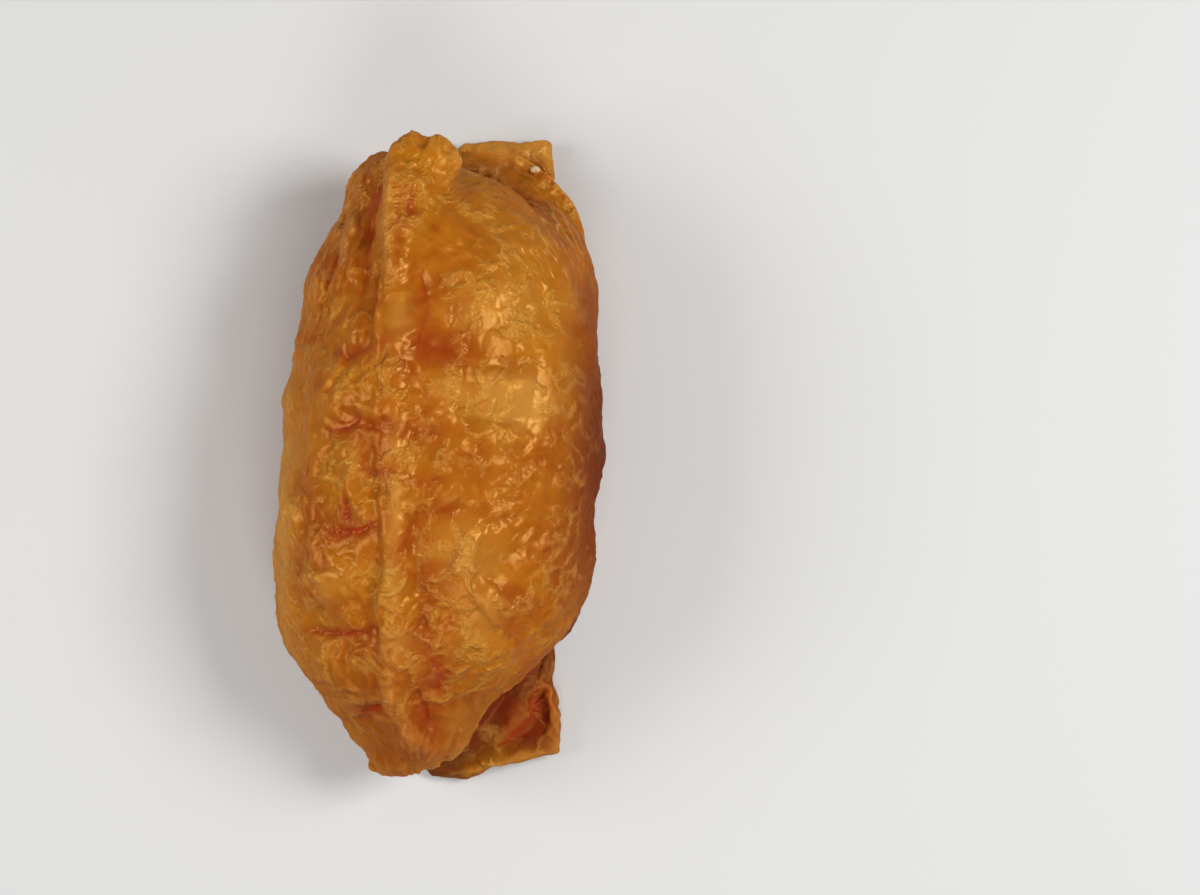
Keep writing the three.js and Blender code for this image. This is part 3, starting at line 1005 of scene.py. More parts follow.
@dataclass(frozen=True)
class Hem:
    """A thin, slightly raised edge of the skin: a flat tube carried along a path."""

    path: Array
    half_width: float
    half_thick: float
    tilt: float = 0.0
    wave: float = 0.25
    wave_size: float = 2.2
    wave_seed: float = 9.0
    look_ahead: float = 0.2

    def shell(self, rings: int, sides: int) -> Shell:
        """The hem as a closed tube.

        Its section is an ellipse, wide to the path's side and thin upward, turned by the tilt, and
        shrinks at both ends with sqrt(1 - |along|^4). Noise of the wave's size moves it a little.

        Args:
            rings: steps along the path.
            sides: points round the section.

        Returns:
            The closed shell.
        """
        path = np.asarray(self.path, float)
        steps = np.linalg.norm(np.diff(path, axis=0), axis=1)
        travelled = np.concatenate([[0.0], np.cumsum(steps)])
        coarse = [tuple(zip(path[:, k], travelled)) for k in range(3)]

        def points(share: Array, angle: Array) -> Array:
            """The hem's points.

            Args:
                share: (n,) shares of its length.
                angle: (n,) angles round it.

            Returns:
                (n, 3) points.
            """
            along = np.sin((share - 0.5) * np.pi)
            place = (along + 1) / 2 * travelled[-1]
            ahead, middle, behind = (
                np.stack([smooth_through(c, place + step) for c in coarse], axis=1)
                for step in (self.look_ahead, 0.0, -self.look_ahead)
            )
            forward = unit(ahead - behind)
            side = unit(np.cross(forward, np.array([0.0, 0.0, 1.0])))
            up = np.cross(side, forward)
            closing = np.sqrt(np.maximum(1 - np.abs(along) ** 4, 0))
            c, d = np.cos(angle) * self.half_width, np.sin(angle) * self.half_thick
            turn = math.radians(self.tilt)
            across = (c * math.cos(turn) - d * math.sin(turn)) * closing
            rise = (c * math.sin(turn) + d * math.cos(turn)) * closing
            middle = Wobble(self.wave_size, self.wave, self.wave_seed).at(middle)
            return middle + across[:, None] * side + rise[:, None] * up

        return closed_rings(rings, sides, points)


# ---- the skin ----


@dataclass(frozen=True)
class Wrinkles:
    """One kind of wrinkle: its size across and along, its height, and how sharp its crests are.

    The direction is an angle in plan, in degrees from +X, along which the wrinkles run.
    """

    across: float
    along: float
    height: float
    direction: float
    sharpness: float
    seed: float

    def at(self, p: Array) -> Array:
        """Height of the wrinkles.

        Points are turned to the wrinkles' direction and squeezed along it, and crested noise is read
        there.

        Args:
            p: (n, 3) points.

        Returns:
            (n,) heights.
        """
        turn = math.radians(self.direction)
        along = (p[:, 0] * math.cos(turn) + p[:, 1] * math.sin(turn)) / self.along
        across = (p[:, 1] * math.cos(turn) - p[:, 0] * math.sin(turn)) / self.across
        q = np.stack([along, across, p[:, 2] / self.across], axis=1)
        return crested(q + self.seed, self.height, self.sharpness)


@dataclass(frozen=True)
class Gathers:
    """Wrinkles that run together towards a corner at x, y.

    Their spacing is in degrees round the corner, and their length in millimetres away from it.
    """

    x: float
    y: float
    spacing: float
    length: float
    height: float
    sharpness: float
    seed: float

    def at(self, p: Array) -> Array:
        """Height of the gathers.

        Crested noise is read at (angle / spacing, distance / length).

        Args:
            p: (n, 3) points.

        Returns:
            (n,) heights.
        """
        across, ahead = p[:, 0] - self.x, p[:, 1] - self.y
        angle = np.degrees(np.arctan2(across, ahead)) / self.spacing
        q = np.stack([angle, np.hypot(across, ahead) / self.length, np.zeros(len(p))], axis=1)
        return crested(q + self.seed, self.height, self.sharpness)


@dataclass
class Skin:
    """The one skin of the pouch: all surfaces joined, with its creases and wrinkles."""

    voxel: float = 0.37
    quick_voxel: float = 0.7
    smoothing: int = 2
    creases: tuple[Crease, ...] = (
        # pinches across the left face, between its puffs
        Crease(((-12.8, 13.1), (-11.2, 12.4), (-9.8, 12.8), (-8.0, 13.5)), 0.3, 0.4, 0.5, 1.6, 0.7),
        Crease(((-13.8, 2.9), (-12.2, 3.3), (-10.9, 3.9), (-9.9, 4.6), (-8.9, 5.8)),
               0.35, 0.4, 0.5, 1.6, 0.9),
        Crease(((-9.4, 4.1), (-7.6, 4.1), (-6.1, 3.4), (-4.4, 3.3)), 0.2, 0.4, 0.2, 1.2, 0.4),
        Crease(((-14.1, -9.2), (-12.2, -9.4), (-10.6, -9.3), (-9.2, -9.1), (-8.2, -8.5), (-6.4, -7.9)),
               0.45, 0.5, 0.3, 1.6, 1.0),
        Crease(((-10.9, -4.9), (-10.7, -6.8), (-10.8, -8.6)), 0.35, 0.45, 0.1, 1.1, 0.9),
        Crease(((-17.0, -22.0), (-14.7, -22.2), (-12.0, -22.4), (-9.0, -21.9), (-6.2, -21.5)),
               0.35, 0.4, 0.5, 1.6, 0.8),
        Crease(((-9.8, -32.6), (-8.4, -32.0), (-6.6, -31.6)), 0.3, 0.5, 0.6, 1.5, 1.0),
        Crease(((-9.2, -1.9), (-7.0, -2.1), (-4.2, -1.6)), 0.3, 0.4, 0.2, 1.2, 0.6),
        # creases of the crown, beside the welt
        Crease(((-3.2, 3.4), (-1.4, 3.0), (0.6, 2.6), (2.6, 2.0)), 0.2, 0.5, 0.2, 1.2, 0.4),
        Crease(((-3.4, -2.9), (-1.0, -2.9), (1.6, -2.5)), 0.15, 0.6, 0.2, 1.2, 0.5),
        Crease(((3.8, -5.3), (1.2, -6.2), (-0.6, -7.1), (-2.6, -9.4), (-4.0, -12.0)),
               0.2, 0.5, 0.35, 1.4, 0.35),
        Crease(((-1.2, -12.0), (-1.5, -16.0), (-1.0, -21.5), (-0.4, -26.4)), 0.2, 0.45, 0.3, 1.3, 0.25),
        Crease(((-0.4, -23.8), (0.2, -26.6), (0.6, -30.6)), 0.2, 0.6, 0.4, 1.4, 0.5),
        Crease(((-2.6, -28.6), (-1.4, -31.4), (-0.8, -33.6), (0.6, -36.0)), 0.2, 0.5, 0.6, 1.3, 0.6),
        Crease(((-3.4, 13.9), (0.0, 13.2), (3.8, 13.5)), 0.1, 1.0, 0.6, 2.4, 0.3),
        Crease(((-4.3, 21.5), (-1.7, 22.6), (-1.2, 20.2), (-1.3, 16.8), (-2.0, 13.2)),
               0.25, 0.4, 0.2, 1.0, 0.5),
        Crease(((1.8, 7.6), (5.0, 5.6), (8.5, 4.6), (13.0, 4.8)), 0.15, 0.6, 0.5, 1.5, 0.0),
        # the welt's steep left side
        Crease(((-6.6, 26.0), (-6.4, 15.6), (-6.5, 7.0), (-6.3, -1.6), (-6.3, -9.0), (-6.6, -17.0)),
               0.1, 0.5, 0.5, 1.3, 0.2),
        # the hollows of the head's corner
        Crease(((-0.4, 29.0), (0.2, 28.8), (0.9, 28.3)), 0.3, 0.35, 0.0, 0.6, 0.45),
        Crease(((-2.4, 33.6), (-2.9, 31.4), (-3.6, 29.4)), 0.0, 0.8, 0.35, 1.5, 0.6),
        Crease(((-1.2, 41.0), (-1.3, 39.6), (-1.8, 38.6)), 0.35, 0.4, 0.1, 0.8, 0.2),
        Crease(((2.8, 37.2), (4.8, 36.4), (6.9, 35.6), (9.4, 34.4), (11.6, 32.8), (13.6, 31.0),
                (15.4, 28.8)), 0.6, 0.4, 0.5, 1.0, 0.5, 4.0, 15.0),
        Crease(((2.0, 38.9), (5.4, 38.1), (8.6, 37.6), (12.0, 36.0)), 0.3, 0.4, 0.2, 1.0, 0.3, 4.0, 12.0),
        Crease(((8.0, 40.8), (10.6, 39.4), (12.0, 38.2), (12.9, 36.7), (14.5, 35.2)),
               0.5, 0.35, 0.2, 0.8, 0.4, 0.0, 8.0),
        # long folds that run with the left face
        Crease(((-6.8, 37.4), (-7.9, 33.5), (-8.6, 30.0), (-8.6, 25.0), (-9.0, 18.0)),
               0.4, 0.6, 1.1, 1.6, 0.6),
        Crease(((-11.4, 32.0), (-12.6, 26.0), (-14.3, 17.0)), 0.4, 0.5, 0.4, 1.3, 0.2),
        Crease(((-15.6, 31.0), (-13.6, 30.7), (-11.6, 29.4)), 0.35, 0.5, 0.4, 1.2, 0.2),
        Crease(((-16.5, 15.0), (-17.2, 4.6), (-16.9, -8.0), (-17.6, -16.0), (-17.0, -24.0)),
               0.25, 0.5, 0.3, 1.2, 0.1),
        # bulges of the crown and of the left face
        Crease(((3.5, 9.6), (8.0, 9.4), (12.5, 8.4)), 0.0, 1.0, -0.9, 2.6, 0.0),
        Crease(((2.6, -11.5), (5.5, -12.5)), 0.0, 1.0, -0.8, 3.0, 0.0),
        Crease(((6.0, -19.5), (8.5, -16.5)), 0.0, 1.0, -0.8, 3.0, 0.0),
        Crease(((-14.5, -14.0), (-13.5, -18.5)), 0.0, 1.0, -0.7, 2.6, 0.0),
        # under the tail's lip, and inside the flap's rim
        Crease(((17.0, -21.0), (14.6, -25.0), (11.4, -28.8), (8.8, -31.6), (6.0, -34.8), (4.0, -38.0)),
               0.6, 0.8, 1.4, 1.8, 0.4, 0.0, 9.5),
        Crease(((12.6, -30.6), (12.2, -33.6), (10.2, -36.4), (7.4, -37.9)),
               0.0, 0.6, 0.6, 1.3, 0.9, 0.0, 6.0),
        # the strands that stand up along the ear's left side and at the welt's end
        Crease(((-4.9, 39.0), (-5.6, 34.5), (-6.3, 30.0), (-6.1, 25.5)), -0.6, 0.6, red=0.0),
        Crease(((-6.1, -27.4), (-6.0, -29.4), (-5.2, -31.4), (-3.7, -34.6), (-2.3, -37.6)),
               -0.6, 0.5, red=0.0),
    )
    crease_wobbles: tuple[Wobble, ...] = (Wobble(3.4, 0.7, 4.0), Wobble(1.3, 0.18, 5.0))
    crease_depth: Mottle = Mottle(0.85, 0.45, 3.5, 6.0)
    creased_side: Rise = Rise(-0.1, 0.4)
    # where the welt's right border fades into the crown
    faded: Pairs = ((-1.4, 27.0), (-1.7, 16.0), (-2.0, 8.0), (-1.6, 0.0), (-1.2, -8.0))
    faded_reach: float = 1.9
    faded_rounds: int = 36
    faded_height: Rise = Rise(20.0, 24.0)
    wrinkle_wobbles: tuple[Wobble, ...] = (Wobble(5.0, 1.1, 71.0), Wobble(1.7, 0.45, 83.0))
    # fine wrinkles everywhere, stronger towards the tail and the left, and calm on smooth stretches
    fine: tuple[Wrinkles, ...] = (
        Wrinkles(2.4, 5.0, 0.42, 25.0, 1.4, 3.0),
        Wrinkles(1.4, 3.4, 0.26, -40.0, 1.6, 17.0),
    )
    fine_strength: Mottle = Mottle(0.62, 0.38, 7.0, 7.0)
    fine_tail: Rise = Rise(-2.0, -14.0, 0.30)
    fine_left: Rise = Rise(-6.0, -12.0, 0.15)
    calm: tuple[Patch, ...] = patches(
        (8.5, 20.0, 7.5, 9.0, 0.55), (10.0, 7.0, 4.2, 3.2, 0.75), (-9.6, 19.8, 2.5, 5.5, 0.8),
    )
    calmest: float = 0.8
    # lengthwise wrinkles on the left face
    lengthwise: tuple[Wrinkles, ...] = (
        Wrinkles(1.6, 11.0, 0.40, 84.0, 1.4, 29.0),
        Wrinkles(0.9, 7.0, 0.18, 80.0, 1.5, 41.0),
    )
    left_head: Zone = Zone(x=Rise(-4.5, -8.5), y=Rise(6.0, 20.0))
    left_flank: Zone = Zone(x=Rise(-7.0, -14.0, 0.45))
    # slanting wrinkles above the head's shoulder
    slanting: tuple[Wrinkles, ...] = (
        Wrinkles(1.2, 9.0, 0.26, -36.0, 1.6, 53.0),
        Wrinkles(0.85, 6.0, 0.14, -40.0, 1.6, 61.0),
    )
    slant_path: Pairs = ((5.0, 34.0), (12.5, 31.5), (18.5, 26.0))
    slant_reach: float = 2.8
    slant_zone: Zone = Zone(z=Rise(4.0, 9.0))
    # crumpled skin on the ear, and gathers at the tail
    crumpled: tuple[Wrinkles, ...] = (
        Wrinkles(1.2, 2.8, 0.34, 58.0, 1.4, 79.0),
        Wrinkles(0.8, 1.7, 0.16, -25.0, 1.5, 89.0),
    )
    ear_zone: Zone = Zone(y=Rise(34.5, 37.0), z=Rise(9.0, 12.0))
    gathers: tuple[Gathers, ...] = (
        Gathers(-3.0, -48.0, 6.0, 7.0, 0.42, 1.4, 67.3),
        Gathers(-3.0, -48.0, 3.2, 5.0, 0.2, 1.5, 73.7),
    )
    tail_zone: Zone = Zone(y=Rise(-25.0, -33.0), z=Rise(5.0, 9.0), facing=Rise(-0.1, 0.3))
    resting: Zone = Zone(z=Rise(3.0, 0.5), facing=Rise(-0.3, -0.8))

    def remeshed(self, core: Shell) -> Shell:
        """Joins the shells to one skin of even cells.

        Args:
            core: the closed shells, which run into each other.

        Returns:
            The skin round them, smoothed so that the cells' steps don't show.
        """
        size = self.voxel
        rough = mesh_object("core", core.points * MM, core.triangles)
        remesh = rough.modifiers.new("join", "REMESH")
        remesh.mode = "VOXEL"
        remesh.voxel_size = size * MM
        remesh.adaptivity = 0.0
        graph = bpy.context.evaluated_depsgraph_get()
        mesh = bpy.data.meshes.new_from_object(rough.evaluated_get(graph))
        points = np.empty(len(mesh.vertices) * 3, np.float32)
        mesh.vertices.foreach_get("co", points)
        mesh.calc_loop_triangles()
        triangles = np.empty(len(mesh.loop_triangles) * 3, np.int32)
        mesh.loop_triangles.foreach_get("vertices", triangles)
        bpy.data.objects.remove(rough)
        skin = Shell(points.reshape(-1, 3).astype(float) / MM, triangles.reshape(-1, 3))
        skin.points = skin.relaxed(self.smoothing)
        beside, _ = along_path(skin.points[:, :2], np.array(self.faded))
        share = bell(beside, self.faded_reach) * self.faded_height.at(skin.points[:, 2])
        skin.points += share[:, None] * (skin.relaxed(self.faded_rounds) - skin.points)
        return skin.facing_out()

    def creased(self, skin: Shell) -> tuple[Shell, Array]:
        """Presses the creases into the upper side, along lines that wobble with soft noise.

        Args:
            skin: the smooth skin.

        Returns:
            The creased skin, and (n,) how red the creases are painted, as their shade.
        """
        p = skin.points
        upper = self.creased_side.at(skin.normals()[:, 2])
        plan = wobbled(p, self.crease_wobbles)[:, :2]
        pressed = [crease.at(plan, p[:, 2]) for crease in self.creases]
        deep = upper * self.crease_depth.at(p) * sum(depth for depth, _ in pressed)
        red = upper * sum(tint for _, tint in pressed)
        return skin.lifted(-deep), red

    def wrinkled(self, skin: Shell) -> Shell:
        """Adds the wrinkles, each kind in its part of the skin.

        Args:
            skin: the creased skin.

        Returns:
            The skin with wrinkles, none of them on the flat underside.
        """
        p, normal = skin.points, skin.normals()
        q = wobbled(p, self.wrinkle_wobbles)
        strength = self.fine_strength.at(p) + self.fine_tail.at(p[:, 1]) + self.fine_left.at(p[:, 0])
        strength *= 1 - np.minimum(summed(self.calm, p), self.calmest)
        left = np.maximum(self.left_head.at(p, normal), self.left_flank.at(p, normal))
        beside, _ = along_path(p[:, :2], np.array(self.slant_path))
        slant = bell(beside, self.slant_reach) * self.slant_zone.at(p, normal)
        kinds = (
            (strength, self.fine),
            (left, self.lengthwise),
            (slant, self.slanting),
            (self.ear_zone.at(p, normal), self.crumpled),
            (self.tail_zone.at(p, normal), self.gathers),
        )
        out = sum(share * sum(wrinkles.at(q) for wrinkles in kind) for share, kind in kinds)
        return skin.lifted(out * (1 - self.resting.at(p, normal)))


@dataclass(frozen=True)
class LipShade:
    """The shade under a stretch of the loaf's lip: its reach and strength, below a height."""

    start: float
    end: float
    reach: float
    strength: float
    height: float
    fade: float = 0.8

    def at(self, p: Array, lip: Array) -> Array:
        """Returns how much each point is shaded by the lip, a path in space."""
        distance, _ = along_path(p[:, :2], lip[:, :2])
        below = smooth(self.height + self.fade, self.height - self.fade, p[:, 2])
        return self.strength * bell(distance, self.reach) * below


@dataclass
class Tones:
    """Where the skin has which colour, painted light and shade among it: masks from 0 to 1 for the
    finish.
    """

    wobble: Wobble = Wobble(3.0, 0.8, 91.0)
    top: Rise = Rise(6.0, 11.0)
    # a point lies below or above the skin relaxed a little or a lot around it: painted shade in valleys,
    # painted highlights on crests
    near_rounds: int = 6
    near_valley: Rise = Rise(0.02, 0.16, 0.15)
    near_crest: Rise = Rise(0.02, 0.14, 0.35)
    wide_rounds: int = 60
    wide_valley: Rise = Rise(0.1, 0.9, 0.45)
    wide_crest: Rise = Rise(0.1, 0.8, 0.6)
    # red-brown patches of the upper side: painted shade along the creases and the right edge, and a faint
    # tone
    blush_shades: tuple[Patch, ...] = patches(
        (3.0, -10.0, 12.0, 22.0, 0.14), (0.5, 13.4, 4.8, 2.2, 1.0), (-10.6, 12.8, 2.8, 1.5, 0.55),
        (-11.4, 3.6, 3.0, 1.3, 0.6), (-10.8, -9.2, 4.2, 0.9, 0.7), (-10.6, -6.4, 0.8, 2.4, 0.5),
        (-2.2, 3.0, 1.9, 0.9, 0.6), (0.0, -3.2, 3.2, 1.0, 0.5), (1.4, -6.4, 3.0, 1.3, 0.75),
        (-3.9, -11.4, 1.0, 1.4, 0.8), (-11.0, -22.2, 6.0, 0.8, 0.55), (-7.9, 31.5, 1.7, 6.0, 0.7),
        (-10.0, 22.0, 1.6, 6.0, 0.2), (-3.0, 31.8, 1.1, 2.6, 0.9), (-0.9, -19.0, 1.0, 8.0, 0.6),
        (0.0, -28.0, 1.6, 2.2, 0.85), (-7.8, -31.9, 2.2, 1.2, 0.9), (-0.9, -33.0, 1.4, 2.8, 0.6),
        (-3.0, -37.0, 5.0, 3.0, 0.35), (-3.1, 10.0, 1.0, 3.2, 0.5), (20.4, 1.0, 3.0, 20.0, 0.7),
    )
    # painted shade: dark hollows low on the folds, and the dark right edge
    hollow_shades: tuple[Patch, ...] = patches(
        (12.2, -33.8, 2.2, 3.6, 0.75), (13.8, -27.8, 1.2, 2.6, 0.9), (9.6, -36.4, 2.6, 1.3, 0.9),
        (11.6, 38.4, 0.8, 0.9, 0.8),
    )
    hollow_shade_height: Rise = Rise(5.4, 4.2)
    edges: tuple[Patch, ...] = patches((21.3, -1.0, 3.5, 21.0, 1.0))
    # painted shade: dark red in the folds' hollows under the tail's lip
    fold_shades: tuple[Patch, ...] = patches(
        (12.9, -33.0, 1.7, 3.2, 0.75), (10.4, -36.2, 1.7, 1.1, 0.5), (8.9, -33.4, 1.7, 2.8, 0.5),
    )
    fold_shade_height: Rise = Rise(6.4, 5.2)
    # painted shade, brown: patches low on the tail and the right side, low upright skin, the head's
    # upright end
    brown_shades: tuple[Patch, ...] = patches(
        (8.0, 36.4, 5.0, 1.4, 0.5), (10.0, -33.0, 8.0, 6.0, 0.9), (-4.5, -36.5, 4.6, 4.6, 0.8),
        (-12.0, -29.0, 5.0, 6.0, 0.45), (17.0, -12.0, 4.0, 14.0, 0.5), (20.6, 0.0, 3.0, 24.0, 1.0),
        (12.0, -36.0, 5.0, 3.0, 0.8),
    )
    low_height: Rise = Rise(5.0, 4.0, 0.8)
    low_upright: Rise = Rise(0.85, 0.5)
    head_end: Zone = Zone(y=Rise(37.8, 38.8, 0.8), facing=Rise(0.85, 0.45))
    # thin skin that is more ochre
    ochres: tuple[Patch, ...] = patches(
        (-19.5, -5.0, 2.6, 22.0, 0.5), (-14.5, -29.0, 4.0, 4.0, 0.35), (9.0, 38.4, 8.0, 3.4, 0.9),
        (4.0, -39.5, 6.0, 1.6, 0.6), (10.0, 22.0, 7.0, 10.0, 0.8), (-1.5, 37.0, 4.0, 3.6, 0.7),
        (8.0, 7.5, 6.0, 2.6, 0.7), (5.0, -14.0, 5.0, 4.5, 0.5),
    )
    # painted highlights: pale patches on the upper side and on the head's flap
    highlight_patches: tuple[Patch, ...] = patches(
        (-19.8, -5.0, 2.0, 20.0, 0.8), (9.0, 40.4, 7.0, 1.8, 0.9), (13.0, 37.6, 2.0, 2.6, 0.7),
        (10.9, 6.3, 2.6, 2.2, 0.9), (10.5, 20.0, 5.0, 8.0, 0.22), (-12.5, 31.5, 3.0, 5.0, 0.3),
        (-4.2, 16.9, 1.6, 3.2, 0.6), (-4.7, 1.2, 1.1, 2.0, 0.7), (-4.7, -4.6, 0.7, 2.0, 0.7),
        (-5.0, -8.6, 0.7, 2.6, 0.9), (-5.2, -15.7, 1.0, 2.2, 0.7), (-4.2, -23.4, 1.6, 2.8, 0.6),
        (-6.1, 30.0, 0.7, 6.0, 0.6), (-13.4, -16.6, 1.6, 2.6, 0.6), (10.4, 7.0, 4.6, 2.8, 1.0),
        (2.5, 8.0, 2.4, 2.0, 0.5), (4.2, -12.0, 3.6, 4.0, 0.6), (5.5, -21.0, 3.0, 3.6, 0.5),
        (6.5, 18.5, 5.0, 2.2, 0.4),
    )
    flap_highlight: Rise = Rise(36.5, 38.0)
    # fibres, which follow ellipses round the loaf: fine relief, painted cream as highlights
    fibres: tuple[Patch, ...] = patches(
        (15.4, 28.6, 4.4, 5.0, 1.0), (-13.6, 28.5, 3.2, 7.0, 1.0), (9.0, 37.0, 6.0, 1.8, 0.8),
        (-17.5, 12.0, 2.6, 12.0, 0.3), (-18.8, -12.0, 2.2, 14.0, 0.3),
    )
    fibre_side: Rise = Rise(-0.1, 0.3)
    grain_middle: tuple[float, float] = (1.5, 14.0)
    grain_reach: tuple[float, float] = (19.0, 26.0)
    grain_across: float = 26.0
    grain_along: float = 5.0
    # the hems are thin and catch no shade
    hem_reach: float = 1.1
    hem_thin: float = 0.9
    hem_lit: float = 0.75
    # the loaf's lips: the painted shade below them, and a painted highlight on their rim
    shades: tuple[LipShade, ...] = (
        LipShade(-20.5, -40.2, 4.8, 1.0, 9.6),
        LipShade(29.4, 37.6, 1.3, 0.8, 13.0),
    )
    shade_inset: float = -0.4
    rim_inset: float = 0.1
    rim_above: float = 0.3
    rim_reach: float = 0.6

    def grain(self, p: Array) -> Array:
        """Coordinates whose first runs across the skin's fibres and whose second runs along them.

        With r the distance from the loaf's middle in reaches and a the angle there, the coordinates
        are grain_across times r and grain_along times a.

        Args:
            p: (n, 3) points.

        Returns:
            (n, 3) coordinates, about one a fibre.
        """
        x, y = ((p[:, k] - self.grain_middle[k]) / self.grain_reach[k] for k in (0, 1))
        across, along = self.grain_across * np.hypot(x, y), self.grain_along * np.arctan2(y, x)
        return np.stack([across, along, np.zeros(len(p))], axis=1)

    def masks(self, skin: Shell, red: Array, loaf: Loaf, hems: list[Hem]) -> dict[str, Array]:
        """Works out where the skin has which colour.

        Args:
            skin: the finished skin.
            red: (n,) how red the creases are painted, as their shade.
            loaf: gives the lips, which shade what lies below them.
            hems: the thin raised edges.

        Returns:
            Name and (n,) values from 0 to 1 of each mask.
        """
        p, normal = skin.points, skin.normals()
        z, facing, plan = p[:, 2], normal[:, 2], self.wobble.at(p)[:, :2]
        near, wide = (
            np.einsum("ij,ij->i", skin.relaxed(rounds) - p, normal)
            for rounds in (self.near_rounds, self.wide_rounds)
        )
        hem = np.max([bell(along_path(p, hem.path)[0], self.hem_reach) for hem in hems], axis=0)
        under = np.maximum(summed(self.hollow_shades, plan) * self.hollow_shade_height.at(z), summed(self.edges, p))
        rim = np.zeros(len(p))
        for shade in self.shades:
            under = np.maximum(under, shade.at(p, loaf.lip(shade.start, shade.end, self.shade_inset)))
            distance, _ = along_path(p, loaf.lip(shade.start, shade.end, self.rim_inset, self.rim_above))
            rim = np.maximum(rim, bell(distance, self.rim_reach))
        low = self.low_upright.at(np.abs(facing)) * self.low_height.at(z)
        low_shade = np.maximum(low, self.head_end.at(p, normal))
        top = self.top.at(z)
        # these masks paint shade in valleys, red-brown patches, under lips, on low brown skin and in red
        # creases, and highlights on crests, pale patches and rims
        values = {
            "valley_shade": self.near_valley.at(near) + self.wide_valley.at(wide),
            "crest_highlight": self.near_crest.at(-near) + self.wide_crest.at(-wide),
            "blush_shade": top * summed(self.blush_shades, plan),
            "thin": summed(self.ochres, plan) + self.hem_thin * hem,
            # painted shade under the lips, in the low hollows and on the right edge
            "under": under * (1 - self.hem_lit * hem),
            "brown_shade": np.maximum(summed(self.brown_shades, plan), low_shade),
            "red": np.maximum(red, summed(self.fold_shades, plan) * self.fold_shade_height.at(z)),
            "pale": np.maximum(top, self.flap_highlight.at(p[:, 1])) * summed(self.highlight_patches, plan),
            "rim": rim,
            "fibre": self.fibre_side.at(facing) * summed(self.fibres, plan),
        }
        return {name: np.clip(value, 0, 1) for name, value in values.items()}


# ---- finishes ----


@dataclass(frozen=True)
class Cloud:
    """Soft noise: its features a metre, how far it is bent, and where it starts and is full."""

    scale: float
    warp: float
    low: float
    high: float


@dataclass(frozen=True)
class Ridges:
    """Sharp-crested noise: its features a metre, detail and bend, and where it starts and is full."""

    scale: float
    detail: float
    warp: float
    low: float
    high: float


